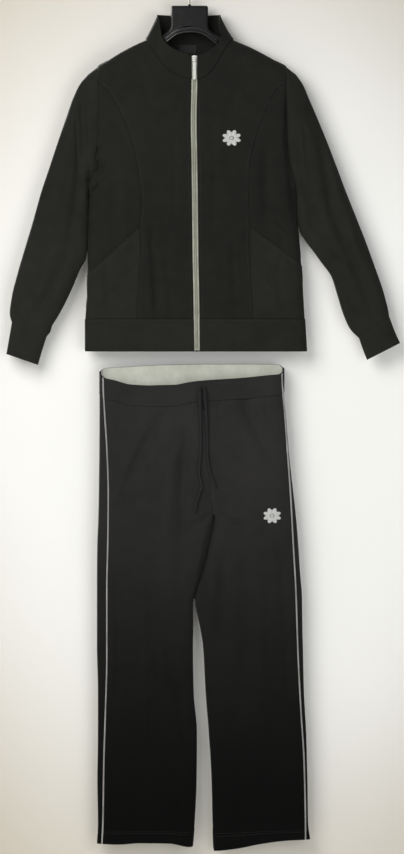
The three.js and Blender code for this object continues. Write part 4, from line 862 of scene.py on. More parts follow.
for hand in ("left", "right"):
    inward = INWARD[hand]
    centre_ends = []
    for number, height in enumerate(PRINCESS["z"]):
        z_to = HEM_SEAM + 0.15 if number == 0 else height
        z_from = min(z_to, -245 - (len(PRINCESS["z"]) - 1 - number) * 2)
        from_x = zip_x(z_from) - inward * ZIP_HALF
        centre_ends.append((from_x, z_from, PRINCESS[hand][number] + inward * 0.15, z_to))
    neck = NECKLINE[hand]
    centre_ends.append((neck[0][0], neck[0][1] - 2, ARMHOLE[hand][8] + inward * 0.15, ARMHOLE["z"][8]))
    for number, height in enumerate(SHOULDER["z"]):
        nx, nz = neck[number + 1]
        centre_ends.append((nx - inward * 0.25, nz - 0.25, SHOULDER[hand][number], height))
    rows = fine_rows(centre_ends)
    x, z = panel_grid(rows, shares_across(112, 1.35))
    meet_at_shoulder(x, z, hand, -1)
    outer, inner = wall_points(jacket_front_face, x, z, ("from", "to", "first", "last"), CLOTH)
    sewn_cloth(f"jacket_centre_front_{hand}", outer, inner, jacket_knit, "black_knit", (0.2, 0.59, 0.083))

    def pocket_top(share, hand=hand):
        outer_x = side_x(POCKET_SIDE[hand], hand)
        inner_x = princess_x(POCKET_TOP, hand)
        return inner_x + (outer_x - inner_x) * share, POCKET_TOP + (POCKET_SIDE[hand] - POCKET_TOP) * share

    def pocket_line(x, hand=hand):
        (start_x, start_z), (end_x, end_z) = pocket_top(0), pocket_top(1)
        return start_z + (end_z - start_z) * (x - start_x) / (end_x - start_x)

    top, low = pocket_top(0), pocket_top(1)
    side_ends = [(top[0] - inward * 0.15, top[1] - POCKET_TUCK, low[0] + inward * 0.3, low[1] - POCKET_TUCK)]
    outer_places = [(side_x(height, hand), height) for height in (-605, -560, -515, -485)]
    outer_places += [(ARMHOLE[hand][k] + inward * 0.15, ARMHOLE["z"][k]) for k in range(7)]
    for height, (ox, oz) in zip(SIDE_FRONT_HEIGHTS, outer_places):
        side_ends.append((princess_x(height, hand) - inward * 0.15, height, ox, oz))
    tip_x, tip_z = ARMHOLE[hand][7] + inward * 0.15, ARMHOLE["z"][7] - 4
    side_ends.append((tip_x + inward * 1.5, tip_z - 1, tip_x, tip_z))
    x, z = panel_grid(fine_rows(side_ends), shares_across(100, 1.9))
    tucked = -POCKET_STEP / 2 * np.clip((pocket_line(x) + POCKET_TUCK - z) / POCKET_TUCK, 0, 1)
    outer, inner = wall_points(jacket_front_face, x, z, ("from", "to"), CLOTH, tucked)
    sewn_cloth(f"jacket_side_front_{hand}", outer, inner, jacket_knit, "black_knit", (0.12, 0.4, 0.034))

    pocket_ends = []
    for down in (0, 0.1, 0.28, 0.5, 0.75, 1):
        z_from = top[1] + (HEM_SEAM + 0.15 - top[1]) * down
        z_to = low[1] + (HEM_SEAM + 0.15 - low[1]) * down
        pocket_ends.append((princess_x(z_from, hand) - inward * 0.15, z_from, side_x(z_to, hand), z_to))
    x, z = panel_grid(fine_rows(pocket_ends), shares_across(110, 1.9))
    below = pocket_line(x) - z
    lifted = POCKET_STEP / 2 * np.clip(2 - below / 20, 0, 1) - 0.4 * np.exp(-((below - 5) / 1.5) ** 2)
    outer, inner = wall_points(jacket_front_face, x, z, ("from", "to", "last"), CLOTH, lifted)
    sewn_cloth(f"jacket_pocket_front_{hand}", outer, inner, painted_light_knit, "black_knit", (0.12, 0.19, 0.0165))

    for beside in (1.6, 5.2):
        heights = np.linspace(HEM_SEAM + 3, -236, 160)
        run_x = table_value(PRINCESS, "z", hand, heights) + inward * beside
        stitched_runs.append(("front", run_x, heights))
    heights = np.linspace(HEM_SEAM + 3, -244, 160)
    beside_zip = table_value(ZIP_LINE, "z", "x", heights) - inward * (ZIP_HALF + 6)
    stitched_runs.append(("front", beside_zip, heights))
    run = np.linspace(0.02, 0.94, 50)
    for drop in (2.0, 7.5):
        run_x, run_z = pocket_top(run)
        stitched_runs.append(("pocket", run_x, run_z - drop))
    sweep = np.linspace(0, 1, 60)
    bag_x = princess_x(-626, hand) - inward * (6 + 55 * sweep)
    bag_z = -626 - 59 * sweep - 8 * np.sin(math.pi * sweep)
    stitched_runs.append(("front", bag_x, bag_z))


# The hem band: a doubled strip of the same jersey round the jacket's foot, in two fronts and a
# back, sewn on with one row of topstitching above it.
HEM_END = -801
HEM_STEP = 1.2
DOUBLE_CLOTH = 2.4
HEM_HEIGHTS = (HEM_SEAM - 0.15, -755, -780, HEM_END)


def hem_out(z):
    """The band stands a little proud and its folded edge is soft."""
    return HEM_STEP - 0.5 * np.exp(-((z - HEM_END) / 2.0) ** 2)


for hand in ("left", "right"):
    ends = [(zip_x(z) - INWARD[hand] * ZIP_HALF, z, side_x(z, hand), z) for z in HEM_HEIGHTS]
    x, z = panel_grid(fine_rows(ends), shares_across(230, 1.8))
    outer, inner = wall_points(jacket_front_face, x, z, ("first", "to"), DOUBLE_CLOTH, hem_out(z))
    sewn_cloth(f"jacket_hem_front_{hand}", outer, inner, painted_light_knit, "black_knit", (0.235, 0.068, 0.0159))
    stitched_runs.append(("hem", x[3, 3:-6], np.full(x.shape[1] - 9, HEM_SEAM - 3.5)))
ends = [(side_x(z, "left"), z, side_x(z, "right"), z) for z in HEM_HEIGHTS]
x, z = panel_grid(fine_rows(ends), shares_across(460, 1.8, both=True))
outer, inner = wall_points(jacket_back_face, x, z, ("first", "from", "to"), DOUBLE_CLOTH, hem_out(z))
sewn_cloth("jacket_hem_back", outer, inner, painted_light_knit, "black_knit", (0.47, 0.068, 0.0319))
stitched_runs.append(("hem_back", x[3, 6:-6], np.full(x.shape[1] - 12, HEM_SEAM - 3.5)))


# The sleeves: one piece of the jersey each, closed along the underarm, set into the armhole. They
# hang down and slightly out from the shoulders, flattened, with long soft creases. The cuffs are
# doubled bands of the same cloth, a little narrower.
SLEEVES = {
    "left": {
        "outer_x": [-214, -231, -245, -260.5, -277.5, -295, -313, -329.5, -346.5, -362, -374, -378.5, -374],
        "outer_z": [-220, -240, -268, -312, -361, -414, -468, -527, -584, -637, -685, -721, -740.4],
        "inner_x": [-213, -213, -213.2, -214, -215, -218, -231, -246, -261.5, -278, -289.5, -293, -299.2],
        "inner_z": [-474, -495, -520, -552, -582, -605, -630, -666, -699, -729, -748, -760, -767.9],
    },
    "right": {
        "outer_x": [222.5, 238, 249, 268.8, 288, 306.5, 327.5, 348.5, 367.5, 387.5, 405.5, 416.5, 418.5],
        "outer_z": [-220, -243, -269, -315, -362, -410, -466, -519, -567, -622, -674, -716, -730.4],
        "inner_x": [223.5, 223.6, 224.2, 225.4, 228.4, 241, 258.4, 277.5, 296, 309, 321.5, 336, 354.5],
        "inner_z": [-474, -491, -508, -527, -545, -568, -591, -617, -643, -683, -723, -754, -773.2],
    },
}
SLEEVE_DEPTHS = [22, 23, 24, 24, 24, 23, 22, 21, 20, 18.5, 17.5, 16, 12.5]
CUFFS = {
    "left": {
        "outer_x": [-374, -379.5, -385.5], "outer_z": [-739.4, -772, -806.5],
        "inner_x": [-299.6, -309, -319], "inner_z": [-766.9, -795, -829.5],
    },
    "right": {
        "outer_x": [418.9, 429.5, 441], "outer_z": [-729.4, -758, -783.5],
        "inner_x": [354.4, 362.5, 371.5], "inner_z": [-772.4, -796, -819],
    },
}
CUFF_DEPTHS = [12.5, 11.5, 11]
ARMHOLE_SHARES = [0, 0.06, 0.16, 0.3, 0.48, 0.66, 0.82, 0.93, 1]
ARMHOLE_PICKS = [-204, -213, -232, -275, -325, -405, -432, -450, -462]
SLEEVE_LEAN = {"left": -17, "right": 24}


def round_places(steps):
    """Shares from the outer to the inner edge and back, and which face each is on."""
    t = np.linspace(0, 1, steps + 1)
    there = (1 - np.cos(math.pi * t)) / 2
    shares = np.concatenate([there, there[-2:0:-1]])
    facing = np.concatenate([-np.ones(steps + 1), np.ones(steps - 1)])
    return shares, facing


def tube_points(rings, depths, shares, facing, inset, numbers):
    """Rings round a flattened tube between its outer and inner edge lines."""
    table = {"ring": range(len(depths)), "depth": depths, **rings}
    edge = {k: table_value(table, "ring", k, numbers)[:, None] for k in (*rings, "depth")}
    across = np.hypot(edge["inner_x"] - edge["outer_x"], edge["inner_z"] - edge["outer_z"])
    eased = inset / across + shares * (1 - 2 * inset / across)
    x = edge["outer_x"] + (edge["inner_x"] - edge["outer_x"]) * eased
    z = edge["outer_z"] + (edge["inner_z"] - edge["outer_z"]) * eased
    full = np.maximum(1 - np.abs(2 * shares - 1) ** 2.4, 0) ** (1 / 2.4)
    depth = (edge["depth"] - inset) * full
    relief = np.where(facing < 0, crease_depth(x, z, FRONT_CREASES), crease_depth(x, z, BACK_CREASES))
    relief = (relief + cloth_drift(x, z)) * np.minimum(depth / CREASE_FULL_DEPTH, 1)
    return np.stack([x, facing * (depth - relief), z], axis=-1)


def ring_numbers(first, last, count, close):
    """Ring numbers along a tube, with a close one beside each named end."""
    numbers = np.linspace(first, last, count)
    return np.unique(np.concatenate([numbers, [first + close, last - close]]))


for hand in ("left", "right"):
    # The sleeves and cuffs take the lighter jersey colour, painted light for the extra light they catch.
    sleeve_knit = knit_finish(f"sleeve_knit_{hand}", *PAINTED_LIGHT_BLACK, lean=SLEEVE_LEAN[hand])
    shares, facing = round_places(26)
    pick_table = {"share": ARMHOLE_SHARES, "z": ARMHOLE_PICKS}
    sewn_z = table_value(pick_table, "share", "z", shares)
    sewn_x = table_value(ARMHOLE, "z", hand, sewn_z)
    rims = []
    for out in (-0.75, -CLOTH):
        front = jacket_front_face(sewn_x, sewn_z, out)
        rear = jacket_back_face(sewn_x, sewn_z, out)
        rim = np.where(facing[:, None] < 0, front, rear)
        rim[:, 0] -= INWARD[hand] * 0.15
        rim[[0, 26], 1] = 0
        rims.append(rim)
    numbers = ring_numbers(0, 12, 118, 0.02)
    walls = []
    for rim, inset in zip(rims, (0.0, CLOTH)):
        tube = tube_points(SLEEVES[hand], SLEEVE_DEPTHS, shares, facing, inset, numbers)
        seat = [rim + (tube[0] - rim) * share for share in (0, 0.08, 0.4, 0.7)]
        if inset == 0:
            plump = np.sin(math.pi * np.array([0, 0.3, 0.6, 0.85]))[:, None] * facing * 0.9
            for ring, lift in zip(seat, plump):
                ring[:, 1] += lift * np.sin(math.pi * shares)
            end_sink = 0.8 * np.exp(-(((12 - numbers) / 0.05) ** 2))[:, None]
            tube[..., 1] -= facing * end_sink * np.sin(math.pi * shares)
        walls.append(np.concatenate([np.stack(seat), tube]))
    sewn_cloth(
        f"sleeve_{hand}", *walls, sleeve_knit, "black_knit", (0.36, 0.56, 0.125),
        (f"cloth_jacket_centre_front_{hand}",), ring=True,
    )

    shares, facing = round_places(18)
    numbers = np.unique(np.concatenate([np.linspace(0, 2, 16), [0.02, 0.05, 1.93, 1.98]]))
    walls = [
        tube_points(CUFFS[hand], CUFF_DEPTHS, shares, facing, inset, numbers) for inset in (0.0, DOUBLE_CLOTH)
    ]
    soft_ends = 0.8 * np.exp(-((numbers / 0.05) ** 2)) + 0.6 * np.exp(-(((2 - numbers) / 0.05) ** 2))
    walls[0][..., 1] -= facing * soft_ends[:, None] * np.sin(math.pi * shares)
    sewn_cloth(
        f"cuff_{hand}", *walls, sleeve_knit, "black_knit", (0.155, 0.068, 0.0105),
        (f"cloth_sleeve_{hand}",), ring=True,
    )


# The stand collar: a doubled strip of the jersey round the neck, its two ends held by the top of
# the zip. It stands up behind and leans open at the front, with one soft buckle on each side.
COLLAR_LEFT = [
    (2.6, -182.5, -31), (-12, -177, -31.5), (-29.5, -170.5, -31), (-45, -160, -29), (-56.5, -147, -25.5),
    (-61.5, -124, -18), (-64.5, -104, -8), (-66.5, -95.5, 2), (-64, -94, 12), (-53.5, -93.5, 21),
    (-30, -94, 27), (-1, -94.5, 29),
]
COLLAR_RIGHT = [
    (28, -94, 27), (50.5, -93.5, 21), (60, -94, 12), (61.5, -95.5, 2), (60.5, -105, -8), (60.5, -122, -18),
    (65, -140, -25.5), (58.5, -156, -29), (45, -169, -31), (30, -178, -31.5), (16, -183, -31),
]
COLLAR_BACK_SEAM = [-86, -70, -38, -1, 36, 68, 84]
COLLAR_WALL = 2
SEAM_LAP = 1.4
COLLAR_LEVELS = np.array([0, 0.015, 0.05, 0.1, 0.2, 0.3, 0.4, 0.5, 0.6, 0.7, 0.8, 0.88, 0.94, 0.975, 1])


def collar_seam():
    """Where the collar is sewn on: points on the body and the ways out there."""
    places, ways = [], []

    def add(face, x, z, level=False):
        spot, out = face(np.array(x), np.array(z)), face(np.array(x), np.array(z), 1.0)
        way = out - spot
        if level:
            spot[1], way[1] = 0, 0
        places.append(spot)
        ways.append(way / np.linalg.norm(way))

    for x, z in NECKLINE["left"]:
        add(jacket_front_face, x, z)
    add(jacket_back_face, NECK_LEFT, SHOULDER["z"][-1], level=True)
    for x in COLLAR_BACK_SEAM:
        share = (x - NECK_LEFT) / (NECK_RIGHT - NECK_LEFT)
        add(jacket_back_face, x, SHOULDER["z"][-1] - back_neck_dip(share) - SEAM_LAP)
    add(jacket_back_face, NECK_RIGHT, SHOULDER["z"][-1], level=True)
    for x, z in reversed(NECKLINE["right"]):
        add(jacket_front_face, x, z)
    return np.array(places), np.array(ways)


def spline_columns(points, per_span):
    """Smooth points between the given ones, per_span for each."""
    held = np.vstack([2 * points[0] - points[1], points, 2 * points[-1] - points[-2]])
    fine = []
    for p0, p1, p2, p3 in zip(held, held[1:], held[2:], held[3:]):
        s = np.linspace(0, 1, per_span, endpoint=False)[:, None]
        bend = (2 * p0 - 5 * p1 + 4 * p2 - p3) * s**2 + (3 * p1 - p0 - 3 * p2 + p3) * s**3
        fine.append(0.5 * (2 * p1 + (p2 - p0) * s + bend))
    return np.vstack([*fine, points[-1:]])


def surface_ways(grid):
    """The way out of a grid of points at each of them."""
    along, across = np.gradient(grid, axis=0), np.gradient(grid, axis=1)
    ways = np.cross(across, along)
    return ways / np.maximum(np.linalg.norm(ways, axis=-1), 1e-9)[..., None]


seam_points, seam_ways = collar_seam()
seam_fine = spline_columns(seam_points, 7)
ways_fine = spline_columns(seam_ways, 7)
ways_fine /= np.linalg.norm(ways_fine, axis=1)[:, None]
top_fine = spline_columns(np.array([(x, y, z) for x, z, y in COLLAR_LEFT + COLLAR_RIGHT], float), 7)
level = COLLAR_LEVELS[:, None, None]
collar_outer = seam_fine + (top_fine - seam_fine) * level
column = np.linspace(0, 1, collar_outer.shape[1])
waves = 0.9 + 0.8 * np.sin(column * 31) + 0.5 * np.sin(column * 57 + 1)
bowed = np.sin(math.pi * COLLAR_LEVELS)[:, None] * waves
buckle = np.exp(-(((column - 0.27) / 0.02) ** 2)) * 1.6 + np.exp(-(((column - 0.8) / 0.025) ** 2)) * 1.8
bowed = bowed - buckle * np.sin(math.pi * COLLAR_LEVELS)[:, None]
seam_dip = 0.8 * np.exp(-((COLLAR_LEVELS / 0.04) ** 2))
seam_dip += 0.5 * np.exp(-(((1 - COLLAR_LEVELS) / 0.03) ** 2))
out_ways = surface_ways(collar_outer)
ends_flat = np.minimum(np.minimum(column, 1 - column) / 0.04, 1)
collar_outer = collar_outer + out_ways * (bowed * ends_flat - seam_dip[:, None])[..., None]
inner_ways = surface_ways(collar_outer)
inner_ways[0] = ways_fine
collar_inner = collar_outer - inner_ways * COLLAR_WALL
sewn_cloth(
    "collar", collar_outer, collar_inner, jacket_knit, "black_knit", (0.46, 0.055, 0.0235),
    ("cloth_jacket_back",),
)


# The neck label and the size tab below it: two blank pieces of black satin ribbon with folded
# ends, sewn inside the back below the neck seam.
def satin_finish():
    material, shader, place = start_finish("label_satin", {"Specular IOR Level": 0.12})
    weft = (place.part("X") * (2 * math.pi / 0.0004)).sine()
    glint = place.noise(90, 3.0)
    paint(shader, place, {
        "Base Color": glint.mix((0.008, 0.008, 0.009), (0.018, 0.018, 0.02)),
        "Roughness": 0.32 + glint * 0.25,
        "Normal": (weft + glint * 2).bump(0.00008, 0.4),
    })
    return material


label_satin = satin_finish()
LABEL_WALL = 0.7
LABELS = {"size_tab": (-9, -1, -181, -174.6), "neck_label": (-22, 14, -174, -155.5)}
labels = []
for node, (left, right, bottom, top) in LABELS.items():
    ends = [(left, bottom, right, bottom), (left, top, right, top)]
    x, z = panel_grid(fine_rows(ends), shares_across(right - left, 1.0))
    curl = 0.35 * np.cos((x - left) / (right - left) * 2 * math.pi) * (top - z) / (top - bottom)
    folded = 0.15 * (np.abs(x - (left + right) / 2) > (right - left) / 2 - 2.4)
    under = -CLOTH - SEAM_GAP
    outer = jacket_back_face(x, z, under)
    inner = jacket_back_face(x, z, under - LABEL_WALL - curl * 0.4 - folded)
    cut = ((right - left) * MM, (top - bottom) * MM, None) if labels else None
    label = sewn_cloth(
        node, outer, inner, label_satin, "label_satin", cut, ("cloth_jacket_back",), sewn_on=list(labels)
    )
    labels.append(label)


# The zip: grey-olive woven tapes, a closed chain of moulded teeth of the same colour between
# them, and a bright plated slider at the top with its hanging pull.
ZIP_TOP = -182.8
ZIP_BOTTOM = -800
NECK_BASE = -231
COLLAR_FRONT_Y = -31
CHAIN_HALF = 1.9
TOOTH_PITCH = 2.1


def zip_face_y(z):
    """How far forward the zip's face is at a height."""
    z = np.asarray(z, float)
    low = np.minimum(z, NECK_BASE)
    y = jacket_front_face(table_value(ZIP_LINE, "z", "x", low), low)[..., 1]
    return y + (COLLAR_FRONT_Y - y) * np.clip((z - NECK_BASE) / (ZIP_TOP - NECK_BASE), 0, 1)


def tape_finish(name, dark, light):
    material, shader, place = start_finish(name, {"Sheen Weight": 0.15, "Specular IOR Level": 0.35})
    ribs = (place.part("X") * (2 * math.pi / 0.0009)).sine()
    picks = (place.part("Z") * (2 * math.pi / 0.0006)).sine()
    weave = ribs * picks
    dirt = place.noise(24, 4.0, 0.65)
    paint(shader, place, {
        "Base Color": (weave * 0.18 + dirt).ramp(0.2, 0.85).mix(dark, light),
        "Roughness": 0.6 + dirt * 0.2,
        "Normal": (weave + ribs).bump(0.00015, 0.5),
    })
    return material


def teeth_finish():
    material, shader, place = start_finish("zip_teeth", {"Specular IOR Level": 0.5})
    wear = place.noise(45, 4.0)
    paint(shader, place, {
        "Base Color": wear.mix((0.29, 0.3, 0.24), (0.46, 0.47, 0.4)),
        "Roughness": 0.34 + wear * 0.22,
        "Normal": place.noise(900, 2.0).bump(0.0001, 0.3),
    })
    return material


def plated_finish():
    material, shader, place = start_finish("plated_metal", {"Metallic": 1.0})
    scratches = place.node("Mapping", {}, {"Vector": place, "Scale": (6, 6, 1)}).noise(900, 4.0, 0.7)
    smudge = place.noise(120, 3.0)
    paint(shader, place, {
        "Base Color": smudge.mix((0.7, 0.7, 0.66), (0.92, 0.92, 0.89)),
        "Roughness": 0.2 + scratches * 0.2,
        "Normal": scratches.bump(0.00005, 0.35),
    })
    return material


tape_cloth = tape_finish("zip_tape", (0.24, 0.246, 0.195), (0.43, 0.44, 0.36))
TAPE_EDGES = {
    "left": (-ZIP_HALF + SEAM_GAP, -CHAIN_HALF - SEAM_GAP),
    "right": (CHAIN_HALF + SEAM_GAP, ZIP_HALF - SEAM_GAP),
}
TAPE_SUNK = 0.4
TAPE_WALL = 0.9
tape_heights = np.linspace(ZIP_BOTTOM, ZIP_TOP, 190)[:, None]
for hand, (start, end) in TAPE_EDGES.items():
    spots = np.linspace(start, end, 9)[None, :]
    x = table_value(ZIP_LINE, "z", "x", tape_heights) + spots
    share = (spots - start) / (end - start)
    rolled = 0.35 * np.exp(-((share / 0.15) ** 2)) + 0.35 * np.exp(-(((1 - share) / 0.15) ** 2))
    y = np.broadcast_to(zip_face_y(tape_heights), x.shape)
    z = np.broadcast_to(tape_heights, x.shape)
    outer = np.stack([x, y + TAPE_SUNK + rolled, z], axis=-1)
    inner = np.stack([x, y + TAPE_SUNK + TAPE_WALL, z], axis=-1)
    sewn_cloth(
        f"zip_tape_{hand}", outer, inner, tape_cloth, "zip_tape", (0.012, 0.618, 0.0028),
        (f"cloth_jacket_centre_front_{hand}",),
    )


def repeated_shape(name, corners, faces, places, finish, mirrored=None):
    """Many copies of one small shape, in one mesh."""
    corners = np.array(corners, float)
    points, all_faces = [], []
    for number, place in enumerate(places):
        turn = -1 if mirrored is not None and mirrored[number] else 1
        points.append(corners * (turn, 1, 1) + place)
        base = number * len(corners)
        for face in faces:
            order = face if turn > 0 else face[::-1]
            all_faces.append(tuple(base + k for k in order))
    return mesh_piece(name, np.vstack(points), all_faces, finish)


def tooth_shape():
    """One moulded tooth: a waisted block with a rounded head that reaches past the middle."""
    outline = [(-1.9, 0.36), (-1.2, 0.5), (-0.3, 0.34), (0.35, 0.34), (0.95, 0.62), (1.35, 0.42), (1.5, 0)]
    outline += [(x, -z) for x, z in outline[-2::-1]]
    layers = [(0.9, 0.72), (0.35, 1.0), (-0.55, 1.0), (-0.95, 0.7)]
    corners = [(x * size, y, z * size) for y, size in layers for x, z in outline]
    n = len(outline)
    faces = [
        (r * n + c, r * n + (c + 1) % n, (r + 1) * n + (c + 1) % n, (r + 1) * n + c)
        for r in range(len(layers) - 1)
        for c in range(n)
    ]
    faces += [tuple(range(n - 1, -1, -1)), tuple(range((len(layers) - 1) * n, len(layers) * n))]
    return corners, faces


teeth_heights = np.arange(ZIP_BOTTOM + 3, ZIP_TOP - 8, TOOTH_PITCH / 2)
teeth_places = np.stack(
    [table_value(ZIP_LINE, "z", "x", teeth_heights), zip_face_y(teeth_heights) + 0.35, teeth_heights], axis=1
)
teeth = repeated_shape(
    "zip_teeth", *tooth_shape(), teeth_places, teeth_finish(), mirrored=np.arange(len(teeth_heights)) % 2
)
join_suit(teeth, "zip_chain")
STOP_Z = -797
STOP_RADIUS = 1.5
STOP_LENGTH = 4.8
stop_across = (-STOP_LENGTH / 2, 0, STOP_LENGTH / 2)
stop_path = smooth_path([(zip_x(STOP_Z) + across, 0, 0) for across in stop_across], 0.4)
stop_path += (0, float(zip_face_y(STOP_Z)) + 0.2, STOP_Z - 0.2)


def stop_surface(distance, angles):
    return np.full(len(angles), STOP_RADIUS) * min(1, 0.5 + distance, 0.5 + STOP_LENGTH - distance)


bottom_stop = round_rod("zip_bottom_stop", stop_path, stop_surface, 12, teeth.data.materials[0])
join_suit(bottom_stop)

EDGE_WEAR = 0.18
plated = plated_finish()
for node in ("zip_slider", "zip_pull"):
    bevel = finish_node(node, plated).modifiers.new("worn_edges", "BEVEL")
    bevel.width = EDGE_WEAR * MM
    bevel.segments = 2
    bevel.angle_limit = math.radians(40)


# The trousers: on each leg a front, a back and a narrow side panel that folds round from front to
# back. They are the same jersey, hang by the back of the waist and lie almost flat on the wall.
TROUSERS = {
    "z": [
        -1834, -1790, -1700, -1600, -1515, -1420, -1382, -1330,
        -1318, -1264, -1200, -1150, -1020, -930, -900, -820,
    ],
    "left": [
        -195.5, -193.2, -194.5, -193.2, -193.2, -195.3, -195.3, -195.3,
        -195.3, -195.3, -194.5, -192.5, -190.5, -190, -190, -190,
    ],
    "inner_left": [6.3, 10.5, 14.7, 15.4, 8.4, 7, 7.6, 6.8, 9, 26, 41, 50, 38, 30, 28, 25.5],
    "inner_right": [
        48.8, 46.6, 44.4, 38.4, 31.8, 26.4, 20.6, 10.4,
        9.7, 26.6, 41.6, 50.4, 38.3, 30.3, 28.3, 25.8,
    ],
    "right": [
        252.5, 248, 246.5, 243.8, 239.2, 237, 236, 235.4,
        235.2, 231, 226.8, 222.6, 208.5, 201, 197.5, 197.5,
    ],
    "depth": [10, 11, 12, 13, 14, 15, 15, 16, 16, 17, 18, 18, 18, 17, 16, 15],
}
PIPING = {
    "z": [-1834, -1790, -1660, -1560, -1440, -1300, -1200, -1100, -1000, -930, -870, -820],
    "left": [-184.8, -182.7, -180.6, -177.5, -174.3, -174.3, -172.2, -171.2, -174.5, -179, -181.6, -182],
    "right": [242.6, 242.4, 239.4, 233.1, 226.8, 222, 216.3, 211, 204, 199, 193, 192],
}
WAIST = {
    "x": [-190, -178, -160, -124, -71, -33.5, -3, 21, 107, 170, 186, 197.5],
    "front": [-847, -857, -861, -870.5, -872.8, -871.5, -865.8, -862.7, -856.8, -850.5, -849, -842],
    "back": [-843, -836, -834.5, -832.5, -829.5, -828.5, -828, -827.4, -827.4, -827.6, -828.5, -836],
}
LEG_HEM = {
    "x": [-195, -150, -105, -42, 0, 7, 48, 95, 147, 200, 252],
    "z": [-1834, -1835.5, -1832.5, -1833.5, -1841, -1840, -1849, -1844.5, -1834.5, -1827.5, -1825],
}
CROTCH = -1148
CROTCH_ROLL = 90
LEG_ROLL = 34
WAISTBAND_HEIGHT = 44
PIPING_WIDTH = 3
HEM_LEVEL = -1834
WAIST_LEVEL = -895
LEG_STRAIGHT = (-1800, -930)
TROUSER_CREASES = strengthened(narrower=0.92, deeper=1.7, most=7, creases=[
    (20, 4, (-5, -950), (-17, -1090), (-20, -1250), (-14, -1330)),
    (24, 2.5, (-45, -920), (-95, -1020), (-150, -1090)),
    (20, 3, (-40, -1370), (-45, -1430), (-20, -1560)),
    (22, 3.5, (107, -885), (140, -966), (178, -1040)),
    (18, 2.5, (62, -1180), (66, -1300), (52, -1430)),
    (26, 2, (120, -1180), (118, -1420), (96, -1600)),
    (9, 4.2, (-6, -960), (-14, -1060), (-18, -1110), (-12, -1210)),
    (10, 4, (52, -1148), (38, -1200), (24, -1266), (26, -1330)),
    (9, 3.4, (46, -1140), (20, -1160), (-30, -1172)),
    (9, 3.2, (56, -1140), (96, -1158), (132, -1164)),
    (8, 3, (76, -1190), (66, -1290), (70, -1400)),
    (8, 3, (-66, -940), (-110, -1020), (-152, -1120)),
    (9, -2.6, (-30, -980), (-44, -1120), (-52, -1240)),
    (9, 2.2, (-68, -1410), (-70, -1466), (-60, -1510)),
    (10, 2.2, (-40, -1430), (-18, -1560), (-12, -1640)),
    (10, 2, (74, -1502), (140, -1512), (212, -1524)),
    (12, 1.6, (-160, -1240), (-150, -1420), (-156, -1560)),
    (12, -1.6, (-100, -1180), (-96, -1400), (-90, -1640)),
    (10, 1.6, (186, -1200), (200, -1380), (204, -1560)),
    (12, -1.5, (150, -1240), (150, -1460), (146, -1700)),
    (10, 1.5, (-128, -1600), (-120, -1700), (-126, -1820)),
    (11, 1.5, (-30, -1660), (-22, -1760), (-26, -1822)),
    (10, 1.6, (96, -1640), (104, -1740), (100, -1826)),
    (9, 2, (70, -1788), (140, -1782), (214, -1776)),
    (7, 1.2, (-160, -925), (-150, -975)),
    (7, 1.2, (-110, -925), (-104, -965)),
    (7, 1.4, (-62, -926), (-60, -980)),
    (7, 1.4, (60, -915), (64, -972)),
    (7, 1.2, (120, -910), (124, -950)),
    (7, 1.1, (160, -905), (164, -950)),
])
TROUSER_BACK_CREASES = strengthened(narrower=0.95, deeper=1.5, most=6, creases=[
    (24, 3, (-110, -900), (-90, -1150), (-80, -1500)),
    (24, 3, (120, -900), (130, -1150), (140, -1500)),
    (18, 3, (-60, -1130), (10, -1100), (80, -1135)),
    (10, 2, (-150, -1180), (-90, -1196), (-30, -1180)),
    (10, 2, (190, -1170), (130, -1190), (70, -1176)),
    (12, 1.8, (-60, -1420), (-50, -1560), (-56, -1700)),
    (12, 1.8, (150, -1440), (160, -1600), (150, -1760)),
    (10, -1.6, (-140, -1300), (-132, -1520)),
    (7, 1.3, (-120, -890), (-118, -950)),
    (7, 1.3, (-20, -886), (-18, -944)),
    (7, 1.3, (80, -886), (84, -944)),
])
OUTWARD = {"left": -1, "right": 1}


def trouser_depth(x, z, hand):
    """Half depth of one side of the trousers at a place, without creases."""
    outer_edge = table_value(TROUSERS, "z", hand, z)
    inner_edge = table_value(TROUSERS, "z", f"inner_{hand}", z)
    to_outer = OUTWARD[hand] * (outer_edge - x)
    to_inner = OUTWARD[hand] * (x - inner_edge)
    open_above = rounded((z - CROTCH) / CROTCH_ROLL)
    inseam = open_above + (1 - open_above) * rounded(to_inner / LEG_ROLL)
    return table_value(TROUSERS, "z", "depth", z) * rounded(to_outer / LEG_ROLL) * inseam


def leg_face(hand, side):
    creases = TROUSER_CREASES if side == "front" else TROUSER_BACK_CREASES
    return cloth_face(lambda x, z: trouser_depth(x, z, hand), -1 if side == "front" else 1, creases)


def leg_levels():
    """Levels up a leg, with close ones beside the hem and the waist seam."""
    levels = np.arange(HEM_LEVEL, WAIST_LEVEL, 5.0)
    close = [HEM_LEVEL + EDGE, HEM_LEVEL + 22, HEM_LEVEL + 24, WAIST_LEVEL - EDGE, WAIST_LEVEL]
    return np.unique(np.concatenate([levels, close]))[:, None]


def leg_height(level, x, side):
    """Height at a level of the leg: the hem and the waist seam curve, the levels between don't."""
    low, high = LEG_STRAIGHT
    hem_share = np.clip((low - level) / (low - HEM_LEVEL), 0, 1)
    waist_share = np.clip((level - high) / (WAIST_LEVEL - high), 0, 1)
    hem = table_value(LEG_HEM, "x", "z", x)
    seam = table_value(WAIST, "x", side, x) - WAISTBAND_HEIGHT - 0.15
    straight = np.clip(level, low, high)
    return straight + (hem - low) * hem_share + (seam - high) * waist_share


def hem_fold(level):
    """The turned and sewn hem: a faint step at its stitching and a soft folded edge."""
    at_stitch = 0.5 * np.exp(-(((level - HEM_LEVEL - 23) / 1.6) ** 2))
    return -at_stitch - 0.5 * np.exp(-(((level - HEM_LEVEL) / 1.6) ** 2))


def leg_x(name, level, table=TROUSERS):
    return table_value(table, "z", name, level)
